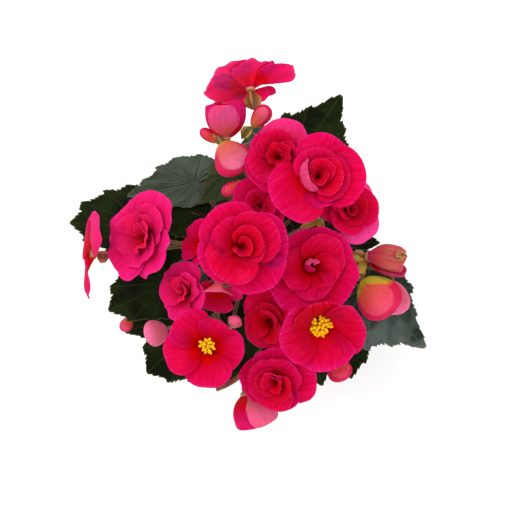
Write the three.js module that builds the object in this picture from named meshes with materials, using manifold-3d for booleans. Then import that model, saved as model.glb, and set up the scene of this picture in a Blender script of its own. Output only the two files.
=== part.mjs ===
// A winter-flowering begonia in full bloom, standing in a plain round nursery pot.
// Millimetres, +Z up. The origin is the centre of the pot's flat base.
// The pot holds a plug of potting soil, the soil holds the crown, and the crown carries
// one branched green framework of shoots, leaf stalks and flower stalks. Each leaf blade,
// bloom and bud is a piece of its own at the end of its stalk.
import * as THREE from "three";
import { mergeVertices } from "three/addons/utils/BufferGeometryUtils.js";
import Module from "manifold-3d";

const wasm = await Module();
wasm.setup();

// Driving dimensions.
const POT_HEIGHT = 108;
const POT_RIM_RADIUS = 65;
const POT_BASE_RADIUS = 46;
const POT_WALL = 1.8;
const RIM_BAND = 15; // height of the stiffening band round the mouth
const RIM_STEP = 3.4; // how far the band stands out from the wall
const POT_SIDES = 24;
const DRAIN_HOLES = 6;
const DRAIN_RADIUS = 4;
const DRAIN_CIRCLE = 31;
const SOIL_TOP = 95;
const CLEARANCE = 0.3; // between neighbouring pieces that touch
const CROWN_RADIUS = 9;
const CROWN_BOTTOM = 72;
const CROWN_TOP = 106;
const BLADE = 0.7; // thickness of a petal or a leaf blade
const RECEPTACLE_HEIGHT = 4.5;
const LEAF_NOTCH = 12; // half angle of the notch behind the leaf stalk, in degrees

const deg = THREE.MathUtils.degToRad;

// Colours seen on the plant, by kind of piece.
const PAINT = {
  pot: { color: 0x8a4a30, roughness: 0.75 },
  soil: { color: 0x2c1d13, roughness: 1 },
  stem: { color: 0x7a6a2c, roughness: 0.45 },
  leaf: { color: 0x1c2c14, roughness: 0.4 },
  petal: { color: 0xd9004a, roughness: 0.6 },
  faded: { color: 0xb8405a, roughness: 0.8 },
  stamen: { color: 0xf2b200, roughness: 0.7 },
  bud: { color: 0xe0506c, roughness: 0.55 },
};

const plant = new THREE.Group();

// The same list of draws each time, from a seed.
function dice(seed) {
  let state = seed >>> 0;
  return () => {
    state = (Math.imul(state, 1664525) + 1013904223) >>> 0;
    return state / 4294967296;
  };
}

// Solids.

function toSolid(geometry) {
  const bare = geometry.clone();
  bare.deleteAttribute("normal");
  bare.deleteAttribute("uv");
  const merged = mergeVertices(bare, 1e-4);
  return new wasm.Manifold(
    new wasm.Mesh({
      numProp: 3,
      vertProperties: new Float32Array(merged.attributes.position.array),
      triVerts: new Uint32Array(merged.index.array),
    }),
  );
}

function toGeometry(solid) {
  const mesh = solid.getMesh();
  const geometry = new THREE.BufferGeometry();
  geometry.setAttribute(
    "position",
    new THREE.BufferAttribute(new Float32Array(mesh.vertProperties), 3),
  );
  geometry.setIndex(new THREE.BufferAttribute(new Uint32Array(mesh.triVerts), 1));
  geometry.computeVertexNormals();
  return geometry;
}

function add(name, solid, paint, position, quaternion) {
  const mesh = new THREE.Mesh(
    toGeometry(solid),
    new THREE.MeshStandardMaterial({ ...PAINT[paint], metalness: 0 }),
  );
  mesh.name = name;
  if (position) mesh.position.copy(position);
  if (quaternion) mesh.quaternion.copy(quaternion);
  plant.add(mesh);
}

// A thin curved sheet given by points and triangles gets its thickness, half on each side.
// Both faces are split alike, and the border between them is closed.
function sheetSolid(points, faces, thickness) {
  const normals = points.map(() => new THREE.Vector3());
  for (const [a, b, c] of faces) {
    const n = new THREE.Vector3()
      .subVectors(points[b], points[a])
      .cross(new THREE.Vector3().subVectors(points[c], points[a]));
    for (const i of [a, b, c]) normals[i].add(n);
  }
  const position = [];
  for (const side of [0.5, -0.5])
    points.forEach((p, i) => {
      const q = p.clone().addScaledVector(normals[i].normalize(), side * thickness);
      position.push(q.x, q.y, q.z);
    });
  const count = points.length;
  const index = [];
  const edges = new Set();
  for (const [a, b, c] of faces) {
    index.push(a, b, c, count + a, count + c, count + b);
    for (const [from, to] of [[a, b], [b, c], [c, a]]) edges.add(from + " " + to);
  }
  for (const edge of edges) {
    const [a, b] = edge.split(" ").map(Number);
    if (edges.has(b + " " + a)) continue;
    index.push(b, a, count + a, b, count + a, count + b);
  }
  return new wasm.Manifold(
    new wasm.Mesh({
      numProp: 3,
      vertProperties: new Float32Array(position),
      triVerts: new Uint32Array(index),
    }),
  );
}

// A round bar along a smooth path from one point to another, leaving and arriving in the
// given directions.
function bar(from, leaving, to, arriving, radius, steps, sides) {
  const reach = from.distanceTo(to) * 0.38;
  const path = new THREE.CubicBezierCurve3(
    from,
    from.clone().addScaledVector(leaving, reach),
    to.clone().addScaledVector(arriving, -reach),
    to,
  );
  const section = new THREE.Shape(
    Array.from({ length: sides }, (_, i) => {
      const turn = (i / sides) * 2 * Math.PI;
      return new THREE.Vector2(radius * Math.cos(turn), radius * Math.sin(turn));
    }),
  );
  return toSolid(
    new THREE.ExtrudeGeometry(section, { steps, bevelEnabled: false, extrudePath: path }),
  );
}

// The way a bloom, bud or leaf faces: tipped from upright towards a compass direction
// counted from +X, with no turn about its own axis apart from roll.
function facing(towards, tilt, roll = 0) {
  const z = new THREE.Vector3(0, 0, 1);
  const y = new THREE.Vector3(0, 1, 0);
  return new THREE.Quaternion()
    .setFromAxisAngle(z, deg(towards))
    .multiply(new THREE.Quaternion().setFromAxisAngle(y, deg(tilt)))
    .multiply(new THREE.Quaternion().setFromAxisAngle(z, deg(roll - towards)));
}

const axisOf = (quaternion) => new THREE.Vector3(0, 0, 1).applyQuaternion(quaternion);

// Pot: one moulding with a banded rim, and drain holes through its flat floor.

function potSolid() {
  const shoulder = POT_HEIGHT - RIM_BAND;
  const neck = POT_RIM_RADIUS - 1 - RIM_STEP;
  const profile = [
    [0, 0],
    [POT_BASE_RADIUS, 0],
    [neck, shoulder],
    [POT_RIM_RADIUS - 1, shoulder],
    [POT_RIM_RADIUS, POT_HEIGHT],
    [POT_RIM_RADIUS - POT_WALL, POT_HEIGHT],
    [POT_RIM_RADIUS - 1 - POT_WALL, shoulder + POT_WALL],
    [neck - POT_WALL, shoulder],
    [POT_BASE_RADIUS - POT_WALL, POT_WALL],
    [0, POT_WALL],
  ].map(([r, z]) => new THREE.Vector2(r, z));
  let pot = toSolid(new THREE.LatheGeometry(profile, POT_SIDES).rotateX(Math.PI / 2));
  for (let i = 0; i < DRAIN_HOLES; i++) {
    const turn = (i / DRAIN_HOLES) * 2 * Math.PI;
    const hole = new THREE.CylinderGeometry(DRAIN_RADIUS, DRAIN_RADIUS, 4 * POT_WALL, 6)
      .rotateX(Math.PI / 2)
      .translate(DRAIN_CIRCLE * Math.cos(turn), DRAIN_CIRCLE * Math.sin(turn), 0);
    pot = pot.subtract(toSolid(hole));
  }
  return pot;
}

// Soil: it fills the pot to below the band, with an uneven top and one plain hole for the crown.

function soilSolid() {
  const shoulder = POT_HEIGHT - RIM_BAND;
  const taper = (POT_RIM_RADIUS - 1 - RIM_STEP - POT_BASE_RADIUS) / shoulder;
  const wallAt = (z) => POT_BASE_RADIUS - POT_WALL + taper * (z - POT_WALL) - 2 * CLEARANCE;
  const bottom = POT_WALL + CLEARANCE;
  const rimTop = shoulder - 2;
  const holeRadius = CROWN_RADIUS + CLEARANCE;
  const profile = [
    [0, bottom],
    [wallAt(bottom), bottom],
    [wallAt(rimTop), rimTop],
    [44, SOIL_TOP - 1],
    [26, SOIL_TOP + 1],
    [0, SOIL_TOP + 1],
  ].map(([r, z]) => new THREE.Vector2(r, z));
  const plug = new THREE.LatheGeometry(profile, POT_SIDES).rotateX(Math.PI / 2);
  const place = plug.attributes.position;
  for (let i = 0; i < place.count; i++) {
    const x = place.getX(i);
    const y = place.getY(i);
    const z = place.getZ(i);
    if (z > rimTop + 1) place.setZ(i, z + 0.9 * Math.sin(0.31 * x + 1) * Math.cos(0.27 * y));
  }
  const hole = new THREE.CylinderGeometry(holeRadius, holeRadius, 60, 12)
    .rotateX(Math.PI / 2)
    .translate(0, 0, CROWN_BOTTOM - CLEARANCE + 30);
  return toSolid(plug).subtract(toSolid(hole));
}

// Petals. Each ring of petals follows one bowl of revolution, given by its slope at the foot
// and at the rim. A petal is a patch of that bowl, broad above its middle and rounded at the
// rim. One side of it stands in front of the bowl and the other behind, so that the petals
// of a ring lap like roof tiles and never meet.

function petalPoint(petal, u, v) {
  const { length, halfWidth, rise, fall, foot, lift, lap, span, wave } = petal;
  const slope = deg(rise + (fall - rise) * v * (1 - petal.corner * u * u * v * v));
  const turned = deg(fall - rise);
  const bowl = length / turned;
  const reach = foot + bowl * (Math.sin(slope) - Math.sin(deg(rise)));
  const height = lift + bowl * (Math.cos(deg(rise)) - Math.cos(slope));
  const side = (u * halfWidth * Math.sin(Math.PI * (0.1 + 0.6 * v))) / reach;
  const widest = deg(span) * (0.55 + 0.45 * THREE.MathUtils.smoothstep(v, 0, 0.5));
  const turn = side / Math.sqrt(1 + (side / widest) ** 2);
  const front =
    lap * u * (0.3 + 0.7 * THREE.MathUtils.smoothstep(v, 0, 0.4)) +
    wave * v * v * Math.sin(2.2 * Math.PI * u + petal.azimuth);
  const out = reach - front * Math.sin(slope);
  const about = deg(petal.azimuth) + turn;
  return new THREE.Vector3(
    out * Math.cos(about),
    out * Math.sin(about),
    height + front * Math.cos(slope),
  );
}

function petalSheet(petal) {
  const { across, along } = petal;
  const points = [];
  for (let j = 0; j <= along; j++)
    for (let i = 0; i <= across; i++)
      points.push(petalPoint(petal, (2 * i) / across - 1, j / along));
  const faces = [];
  for (let j = 0; j < along; j++)
    for (let i = 0; i < across; i++) {
      const a = j * (across + 1) + i;
      const c = a + across + 1;
      faces.push([a, a + 1, c + 1], [a, c + 1, c]);
    }
  return [points, faces];
}

// The rings of each kind of bloom, from the outermost in. Lengths and half widths are shares
// of the bloom's radius. Rise and fall are the slopes at the foot and at the rim, in degrees,
// and span is the widest angle that half a petal may cover.
const RINGS = {
  rose: [
    { count: 4, length: 1.0, halfWidth: 1.12, rise: 30, fall: -4, foot: 3.2, lift: 1.8, lap: 1.6, span: 76, across: 4 },
    { count: 3, length: 0.84, halfWidth: 1.0, rise: 54, fall: 10, foot: 2.8, lift: 2.8, lap: 1.4, span: 92, across: 3 },
    { count: 2, length: 0.58, halfWidth: 0.66, rise: 78, fall: 48, foot: 1.8, lift: 3.4, lap: 1.1, span: 116, across: 3 },
  ],
  semi: [
    { count: 4, length: 1.02, halfWidth: 1.12, rise: 40, fall: 0, foot: 3.2, lift: 1.8, lap: 2.2, span: 76, across: 4 },
    { count: 2, length: 0.74, halfWidth: 0.72, rise: 76, fall: 44, foot: 2.4, lift: 2.9, lap: 1.6, span: 112, across: 3 },
  ],
  single: [
    { count: 5, length: 1.0, halfWidth: 0.88, rise: 32, fall: 2, foot: 3.2, lift: 1.8, lap: 2.2, span: 62, across: 3 },
  ],
  cup: [
    { count: 4, length: 1.3, halfWidth: 1.25, rise: 60, fall: 22, foot: 3.2, lift: 1.8, lap: 2.8, span: 74, across: 4 },
  ],
  flat: [
    { count: 4, length: 1.02, halfWidth: 1.05, rise: 38, fall: -14, foot: 3.2, lift: 1.8, lap: 1.6, span: 72, across: 3 },
  ],
  nodding: [
    { count: 4, length: 1.18, halfWidth: 1.1, rise: 58, fall: 6, foot: 3.2, lift: 1.8, lap: 1.5, span: 76, across: 3 },
  ],
  half: [
    { count: 1, length: 1.34, halfWidth: 1.25, rise: 20, fall: 96, foot: 4.0, lift: 1.6, lap: 0.3, span: 56, across: 3 },
    { count: 2, length: 1.5, halfWidth: 1.5, rise: 24, fall: 108, foot: 3.0, lift: 1.9, lap: 0.6, span: 88, across: 4 },
    { count: 1, length: 1.8, halfWidth: 1.3, rise: 40, fall: 84, foot: 2.4, lift: 3.4, lap: 0.8, span: 60, across: 3 },
  ],
  faded: [
    { count: 3, length: 1.75, halfWidth: 1.25, rise: 45, fall: 115, foot: 3.2, lift: 1.8, lap: 1.4, span: 88, across: 4 },
  ],
};

function petalsOf(bloom) {
  const draw = dice(bloom.seed);
  const petals = [];
  RINGS[bloom.kind].forEach((ring, level) => {
    const places =
      bloom.places?.[level] ??
      Array.from({ length: ring.count }, (_, i) => [bloom.roll + (360 * (i + level * 0.4)) / ring.count, 1, 1]);
    const loose = level < 2 ? 6 : 20;
    for (const [azimuth, longer, wider, steeper = 0, closing = 0] of places) {
      petals.push({
        ...ring,
        azimuth: azimuth + loose * (draw() - 0.5),
        length: bloom.radius * ring.length * longer * (1 + 0.06 * (draw() - 0.5)),
        halfWidth: bloom.radius * ring.halfWidth * wider,
        rise: ring.rise + steeper + 4 * (draw() - 0.5),
        fall: ring.fall + steeper + closing + 6 * (draw() - 0.5),
        wave: level ? 0 : 0.022 * bloom.radius,
        corner: bloom.kind === "half" ? 0.26 : bloom.kind === "single" || bloom.kind === "cup" ? 0.1 : 0.13,
        across: bloom.radius < 19 ? 3 : ring.across,
        along: level > 1 ? 1 : 2,
      });
    }
  });
  return petals;
}

function bloomSolid(bloom) {
  const receptacle = new THREE.CylinderGeometry(4.5, 3.2, RECEPTACLE_HEIGHT, 6)
    .rotateX(Math.PI / 2)
    .translate(0, 0, RECEPTACLE_HEIGHT / 2);
  const solids = petalsOf(bloom).map((petal) => sheetSolid(...petalSheet(petal), BLADE));
  return wasm.Manifold.union([toSolid(receptacle), ...solids]);
}

// Blooms, by where the middle of each disc of petals lies, the compass direction it leans
// towards, its tilt from upright and its radius. Places are petals set one by one, ring by
// ring: direction, length and width as shares of the usual, then how much steeper the petal
// stands and how much further its rim closes in, in degrees.
const BLOOMS = [
  { name: "bloom_crown", kind: "rose", at: [-4, 2, 253], towards: 0, tilt: 3, radius: 28, roll: 40, seed: 11,
    places: [
      [[128, 1, 1.25], [10, 0.98, 1.15], [-52, 1.08, 1.25, -4], [205, 0.94, 1.2]],
      [[36, 1.14, 1.2], [238, 1.1, 1.3], [140, 0.92, 1]],
      [[50, 1.3, 1.2, -8]],
    ] },
  { name: "bloom_northeast", kind: "rose", at: [44, 46, 251], towards: 60, tilt: 8, radius: 28, roll: 10, seed: 12,
    places: [
      [[72, 0.94, 1.3, 4], [2, 1.02, 1.3, 4], [-60, 0.66, 1.1, 8], [217, 1.1, 1.3, -6]],
      [[105, 0.8, 1.2], [-15, 0.88, 1.2]],
      [[70, 1.1, 1.2]],
    ] },
  { name: "bloom_north", kind: "rose", at: [20, 60, 234], towards: 200, tilt: 10, radius: 23, roll: 80, seed: 13,
    places: [
      [[72, 1.0, 1.15], [150, 0.8, 1.2], [228, 0.96, 1.25], [322, 0.9, 1.1]],
      [[100, 0.9, 1.2], [212, 1, 1.3], [325, 1, 1]],
      [],
    ] },
  { name: "bloom_east", kind: "rose", at: [65, 26, 222], towards: 20, tilt: 22, radius: 19.5, roll: 20, seed: 14,
    places: [
      [[72, 1.1, 1.25, -4], [-52, 1.12, 1.25, -4], [165, 1, 0.95], [15, 0.95, 1]],
      [[5, 1.16, 1.25], [125, 1.12, 1.2], [245, 1.12, 1.2]],
      [],
    ] },
  { name: "bloom_inner_north", kind: "semi", at: [8, 28, 220], towards: 100, tilt: 12, radius: 18, roll: 30, seed: 15,
    places: [
      [[120, 1.05, 1.25], [200, 1, 1.2], [290, 1, 1.2], [30, 1, 1.2]],
      [[150, 1.2, 1.2], [330, 1.2, 1.2]],
    ] },
  { name: "bloom_southeast", kind: "semi", at: [40, -11, 230], towards: -20, tilt: 8, radius: 28, roll: 55, seed: 16,
    places: [
      [[100, 0.82, 1.2], [42, 0.98, 1.15], [-35, 1.08, 1.25, -3], [225, 1.1, 1.25, -3]],
      [[48, 1.25, 1.3, -22, -14], [-85, 1.1, 1.1, -20, -10], [185, 1.15, 1.1, -20, -10]],
    ] },
  { name: "bloom_south_cup", kind: "cup", at: [47, -49.5, 232], towards: -80, tilt: 26, radius: 25, roll: 18, seed: 17,
    places: [[[15, 0.98, 1.25], [98, 0.86, 1.5, 4], [188, 1, 1.3], [280, 0.98, 1.4, -3]]] },
  { name: "bloom_inner_south", kind: "rose", at: [14.5, -46.5, 216], towards: 200, tilt: 34, radius: 17, roll: 70, seed: 18,
    places: [[[120, 1.1, 1.2], [215, 1, 1.2], [20, 1.1, 1.2], [300, 1.1, 1.2]], undefined, []] },
  { name: "bloom_southwest_open", kind: "single", at: [-26.5, -62, 232], towards: 90, tilt: 6, radius: 22, roll: 50, seed: 19,
    places: [[[62, 0.76, 1.5, 3], [138, 1.1, 1.3], [198, 1.2, 1.15], [277, 1.12, 1.3], [-12, 0.98, 1.2, -3]]] },
  { name: "bloom_west_inner", kind: "semi", at: [-40, -26, 219], towards: 178, tilt: 36, radius: 17, roll: 0, seed: 20,
    places: [
      [[95, 1.02, 1.2], [165, 1.05, 1.2], [240, 1.1, 1.2], [330, 0.95, 1.1]],
      [[20, 1.3, 1.2, -16, -10], [190, 1.3, 1.2, -20, -14]],
    ] },
  { name: "bloom_under_crown", kind: "nodding", at: [-21, -25, 214], towards: 262, tilt: 58, radius: 14, roll: 45, seed: 21,
    places: [[[85, 1.2, 1.6, 4, 30], [168, 0.8, 1.1], [265, 1.3, 1.3, -8], [355, 1, 1, -8]]] },
  { name: "bloom_west_small", kind: "nodding", at: [-29, 4.5, 224], towards: 165, tilt: 46, radius: 13, roll: 20, seed: 22 },
  { name: "bloom_south", kind: "rose", at: [19, -85, 211], towards: 230, tilt: 24, radius: 23, roll: 25, seed: 23,
    places: [
      [[95, 0.9, 1.15], [3, 1.08, 1.2, -3], [-82, 0.84, 1.15], [188, 0.98, 1.15]],
      [[50, 1, 1.2], [165, 1, 1.3], [265, 1.05, 1.2]],
      [[140, 1.2, 1.1]],
    ] },
  { name: "bloom_south_nodding", kind: "half", at: [4, -110, 187], towards: 290, tilt: 98, radius: 19, roll: 40, seed: 24,
    places: [[[60, 0.9, 1.5]], [[152, 0.9, 1.5, -4], [10, 0.84, 1]], [[290, 0.66, 1]]] },
  { name: "bloom_west", kind: "semi", at: [-67, 9, 222], towards: 165, tilt: 39, radius: 27, roll: 60, seed: 25,
    places: [
      [[62, 1.08, 1.15], [-50, 1, 1.2], [228, 1.12, 1.25], [150, 1, 1.25]],
      [[40, 1.2, 1.2, -16, -10], [165, 1.1, 1.2, -16, -10], [275, 1.2, 1.2, -16, -10]],
    ] },
  { name: "bloom_far_west", kind: "flat", at: [-105, -3, 206], towards: 180, tilt: 78, radius: 27, roll: 45, seed: 26, ovary: 1,
    places: [[[55, 1, 1.2, -16], [128, 0.92, 1.2, -6], [225, 1, 1.2, -6], [300, 1.02, 1.2, -4]]] },
  { name: "bloom_far_north", kind: "flat", at: [1, 109, 208], towards: 98, tilt: 114, radius: 28, roll: 45, seed: 27, ovary: 1.3,
    places: [[[172, 0.98, 0.9, -4], [232, 0.88, 1.1, 4], [294, 0.86, 0.9, 6], [354, 1.06, 0.75, 2], [85, 0.8, 0.8]]] },
  { name: "bloom_north_nodding", kind: "half", at: [-15, 84.5, 210], towards: 92, tilt: 98, radius: 17, roll: 20, seed: 28,
    places: [[[268, 0.98, 1.15]], [[335, 1.02, 1.2], [200, 1.02, 1]], [[92, 1, 1]]] },
  { name: "bloom_faded", kind: "faded", at: [91, -6, 204], towards: -10, tilt: 84, radius: 15, roll: 30, seed: 29, ovary: 1,
    places: [[[165, 1, 1], [285, 1.1, 1], [45, 1, 1]]] },
];

// How far the middle of the disc lies in front of the foot of the bloom, as a share of its radius.
const DEPTH = {
  rose: 0.2,
  semi: 0.24,
  single: 0.2,
  cup: 0.4,
  flat: 0.14,
  nodding: 0.34,
  half: 0.7,
  faded: 0.9,
};

for (const bloom of BLOOMS) {
  const turn = facing(bloom.towards, bloom.tilt);
  bloom.axis = axisOf(turn);
  bloom.foot = new THREE.Vector3(...bloom.at).addScaledVector(
    bloom.axis,
    -DEPTH[bloom.kind] * bloom.radius,
  );
  add(bloom.name, bloomSolid(bloom), bloom.kind === "faded" ? "faded" : "petal", bloom.foot, turn);
}

// Stamens: a mop of short yellow clubs on a low cushion, in the two open blooms.

function stamenSolid(seed) {
  const draw = dice(seed);
  const floor = RECEPTACLE_HEIGHT + CLEARANCE;
  const cushion = new THREE.SphereGeometry(2.4, 6, 4).scale(1, 1, 0.7).translate(0, 0, floor + 1.7);
  const clubs = [toSolid(cushion)];
  const count = 9;
  for (let i = 0; i < count; i++) {
    const club = new THREE.ConeGeometry(1.1, 4.4, 3, 1)
      .rotateX(-Math.PI / 2)
      .translate(0, 0, 3 + 0.8 * draw())
      .rotateY(deg(62 * Math.sqrt((i + 0.5) / count)))
      .rotateZ(i * 2.4 + 0.5 * draw())
      .translate(0, 0, floor + 1.7);
    clubs.push(toSolid(club));
  }
  return wasm.Manifold.union(clubs);
}

// Leaves. A blade is a lopsided heart with a drawn-out tip. Its outline is given by the
// distance from the end of the leaf stalk, where the veins meet, in each direction.

function leafReach(angle, skew, tip) {
  const point = Math.exp(-((angle / deg(tip)) ** 2));
  return (0.6 + 0.1 * Math.cos(angle) + 0.3 * point) * (1 + skew * Math.sin(angle));
}

function leafPoint(leaf, t, share, tooth) {
  const { length, broad, skew, droop, fold, wave, tip, shift } = leaf;
  const last = Math.PI - deg(LEAF_NOTCH);
  const angle = last * (0.7 * t + 0.3 * t * t * t);
  const run = share * leafReach(angle, skew, tip) * (1 - tooth);
  const x = run * length * Math.cos(angle);
  const y = run * length * broad * Math.sin(angle);
  const hang = droop * run * run - wave * run * run * Math.sin(3 * angle + shift);
  return new THREE.Vector3(x, y, fold * Math.abs(y) - hang * length);
}

function leafSheet(leaf) {
  const inner = 11;
  const outer = 2 * inner;
  const points = [new THREE.Vector3(0, 0, 0)];
  for (let i = 0; i <= inner; i++) points.push(leafPoint(leaf, (2 * i) / inner - 1, 0.5, 0));
  for (let i = 0; i <= outer; i++)
    points.push(leafPoint(leaf, (2 * i) / outer - 1, 1, i % 2 ? 0 : 0.07));
  const faces = [];
  for (let i = 0; i < inner; i++) {
    const a = 1 + i;
    const b = 2 + inner + 2 * i;
    faces.push([0, a, a + 1], [a, b, b + 1], [a, b + 1, a + 1], [a + 1, b + 1, b + 2]);
  }
  return [points, faces];
}

// Leaves by where the stalk meets the blade, the compass direction of the tip, how far the
// blade hangs below level, its length from stalk to tip, its breadth as a share of the usual
// and how broad the tip is in degrees.
const LEAVES = [
  { name: "leaf_northeast", at: [31, 60, 170], towards: 56, hang: 8, length: 62, broad: 0.95, tip: 14 },
  { name: "leaf_north", at: [4, 56, 150], towards: 86, hang: 4, length: 36, broad: 0.8, tip: 18 },
  { name: "leaf_northwest", at: [-37, 47, 168], towards: 190, hang: 4, length: 50, broad: 0.62, tip: 18 },
  { name: "leaf_north_small", at: [-11, 55, 180], towards: 224, hang: 10, length: 32, broad: 0.85, tip: 18 },
  { name: "leaf_far_west", at: [-74, 18, 148], towards: 178, hang: 2, length: 54, broad: 0.82, tip: 34 },
  { name: "leaf_west", at: [-41, 27, 162], towards: 168, hang: 2, length: 34, broad: 0.85, tip: 18 },
  { name: "leaf_west_low", at: [-58, -22, 156], towards: 206, hang: 12, length: 50, broad: 0.95, tip: 26 },
  { name: "leaf_west_young", at: [-41, -19, 182], towards: 212, hang: 32, length: 28, broad: 1, tip: 22 },
  { name: "leaf_southwest", at: [-56, -44, 142], towards: 203, hang: 10, length: 38, broad: 0.7, tip: 20 },
  { name: "leaf_southwest_low", at: [-45, -60, 131], towards: 224, hang: 6, length: 42, broad: 1.3, tip: 24 },
  { name: "leaf_south_west", at: [-13, -56, 150], towards: 260, hang: 12, length: 45, broad: 1, tip: 20 },
  { name: "leaf_south", at: [27, -66, 137], towards: 278, hang: 6, length: 46, broad: 0.95, tip: 18 },
  { name: "leaf_south_small", at: [38, -52, 156], towards: 288, hang: 14, length: 50, broad: 0.8, tip: 26 },
  { name: "leaf_southeast", at: [65, -44, 146], towards: 279, hang: 4, length: 48, broad: 0.95, tip: 20 },
  { name: "leaf_far_east", at: [78, -26, 168], towards: 318, hang: 8, length: 64, broad: 0.9, tip: 14 },
  { name: "leaf_east", at: [50, 6, 158], towards: 0, hang: 8, length: 44, broad: 0.75, tip: 18 },
  { name: "leaf_east_low", at: [42, 31, 148], towards: 24, hang: 10, length: 34, broad: 0.9, tip: 18 },
];

LEAVES.forEach((leaf, i) => {
  leaf.skew = i % 2 ? 0.12 : -0.12;
  leaf.droop = 0.14;
  leaf.fold = 0.12;
  leaf.wave = 0.05;
  leaf.shift = 2 * i;
  leaf.turn = new THREE.Quaternion()
    .setFromAxisAngle(new THREE.Vector3(0, 0, 1), deg(leaf.towards))
    .multiply(new THREE.Quaternion().setFromAxisAngle(new THREE.Vector3(0, 1, 0), deg(leaf.hang)));
  leaf.foot = new THREE.Vector3(...leaf.at);
  add(leaf.name, sheetSolid(...leafSheet(leaf), BLADE), "leaf", leaf.foot, leaf.turn);
});

// Buds: two broad scales shut face to face like a clam, with a lip where they meet.

function budSolid({ length, width, thick }) {
  const pod = new THREE.SphereGeometry(1, 8, 6).rotateX(Math.PI / 2);
  const place = pod.attributes.position;
  for (let i = 0; i < place.count; i++) {
    const x = place.getX(i);
    const y = place.getY(i);
    const z = place.getZ(i);
    const lip = Math.abs(x) < 0.05 ? 1.14 : 1;
    const waist = 1 + 0.25 * z;
    place.setXYZ(i, (x * thick * waist) / 2, (y * lip * width * waist) / 2, ((z + 1) * length) / 2);
  }
  return toSolid(pod);
}

// Buds by the place of the middle, the direction of the tip, the tilt from upright, the turn
// about the bud's own length, and their length, width and thickness.
const BUDS = [
  { name: "bud_north", at: [-11, 60.5, 222], towards: -58, tilt: 78, roll: 0, length: 25, width: 22, thick: 11 },
  { name: "bud_north_small", at: [-10, 41, 216], towards: 190, tilt: 76, roll: 0, length: 17, width: 8, thick: 6 },
  { name: "bud_northwest_tiny", at: [-26, 76, 206], towards: 145, tilt: 74, roll: 0, length: 15, width: 7, thick: 5 },
  { name: "bud_north_tiny", at: [8, 88, 214], towards: 48, tilt: 72, roll: 0, length: 18, width: 11, thick: 7, ovary: 1 },
  { name: "bud_east", at: [85.5, -30.5, 208], towards: -50, tilt: 74, roll: 0, length: 31, width: 27, thick: 12, ovary: 1.6 },
  { name: "bud_east_low", at: [99, -32, 188], towards: 276, tilt: 84, roll: 0, length: 23, width: 18, thick: 10 },
  { name: "bud_southeast", at: [60, -79, 202], towards: -62, tilt: 70, roll: 0, length: 18, width: 15, thick: 9 },
  { name: "bud_southwest", at: [-62, -55, 196], towards: 200, tilt: 66, roll: 0, length: 17, width: 16, thick: 10 },
  { name: "bud_southwest_tiny", at: [-87, -51.5, 140.4], towards: 240, tilt: 72, roll: 0, length: 13, width: 8, thick: 6 },
  { name: "bud_inner_south", at: [-9, -47, 224], towards: 60, tilt: 30, roll: 0, length: 13, width: 9, thick: 7 },
];

for (const bud of BUDS) {
  const turn = facing(bud.towards, bud.tilt).multiply(
    new THREE.Quaternion().setFromAxisAngle(new THREE.Vector3(0, 0, 1), deg(bud.towards + bud.roll)),
  );
  bud.axis = axisOf(turn);
  bud.foot = new THREE.Vector3(...bud.at).addScaledVector(bud.axis, -bud.length / 2);
  add(bud.name, budSolid(bud), "bud", bud.foot, turn);
}

// Framework: crown, shoots, forks, stalks. Every stalk ends a clearance short of its piece.
// Forks are named with their place, the fork they spring from and the radius of the limb.
const FORKS = {
  crown: { at: [0, 0, CROWN_TOP - 4] },
  north: { at: [2, 24, 160], from: "crown", radius: 3.3 },
  east: { at: [24, 8, 160], from: "crown", radius: 3.3 },
  southeast: { at: [16, -22, 158], from: "crown", radius: 3.3 },
  southwest: { at: [-16, -22, 158], from: "crown", radius: 3.3 },
  west: { at: [-22, 8, 160], from: "crown", radius: 3.3 },
  north_mid: { at: [8, 38, 186], from: "north", radius: 2.2 },
  north_spray: { at: [13, 75, 194], from: "north_mid", radius: 1.8 },
  east_mid: { at: [42, 18, 206], from: "east", radius: 2 },
  east_spray: { at: [72, -10, 192], from: "east", radius: 1.8 },
  southeast_mid: { at: [36, -34, 194], from: "southeast", radius: 2.2 },
  south_spray: { at: [20, -64, 188], from: "southeast", radius: 1.8 },
  southwest_mid: { at: [-22, -44, 192], from: "southwest", radius: 2.2 },
  west_mid: { at: [-38, 4, 190], from: "west", radius: 2 },
};

// The fork that carries each bloom and bud.
const CARRIED_BY = {
  bloom_crown: "west",
  bloom_northeast: "east_mid",
  bloom_north: "north_mid",
  bloom_east: "east_mid",
  bloom_inner_north: "north",
  bloom_southeast: "southeast_mid",
  bloom_south_cup: "southeast_mid",
  bloom_inner_south: "southeast",
  bloom_southwest_open: "southwest_mid",
  bloom_west_inner: "west_mid",
  bloom_under_crown: "southwest",
  bloom_west_small: "west",
  bloom_south: "south_spray",
  bloom_south_nodding: "south_spray",
  bloom_west: "west_mid",
  bloom_far_west: "west_mid",
  bloom_far_north: "north_spray",
  bloom_north_nodding: "north_spray",
  bloom_faded: "east_spray",
  bud_north: "north_mid",
  bud_north_small: "north_mid",
  bud_northwest_tiny: "north_spray",
  bud_north_tiny: "north_spray",
  bud_east: "east_spray",
  bud_east_low: "east_spray",
  bud_southeast: "southeast_mid",
  bud_southwest: "southwest_mid",
  bud_southwest_tiny: "southwest",
  bud_inner_south: "southwest_mid",
};

// The seed vessel behind a female bloom or bud: a spindle with three wings.
function ovarySolid(end, axis, size) {
  const profile = [
    [0, 0],
    [1.2, 0],
    [5.2, 3.5],
    [5.6, 7],
    [2.4, 9.5],
    [0, 9.5],
  ].map(([r, z]) => new THREE.Vector2(r * size, z * size));
  const turn = new THREE.Quaternion().setFromUnitVectors(new THREE.Vector3(0, 0, 1), axis);
  const spindle = new THREE.LatheGeometry(profile, 3)
    .rotateX(Math.PI / 2)
    .translate(0, 0, -9.5 * size)
    .applyQuaternion(turn)
    .translate(end.x, end.y, end.z);
  return toSolid(spindle);
}

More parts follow.
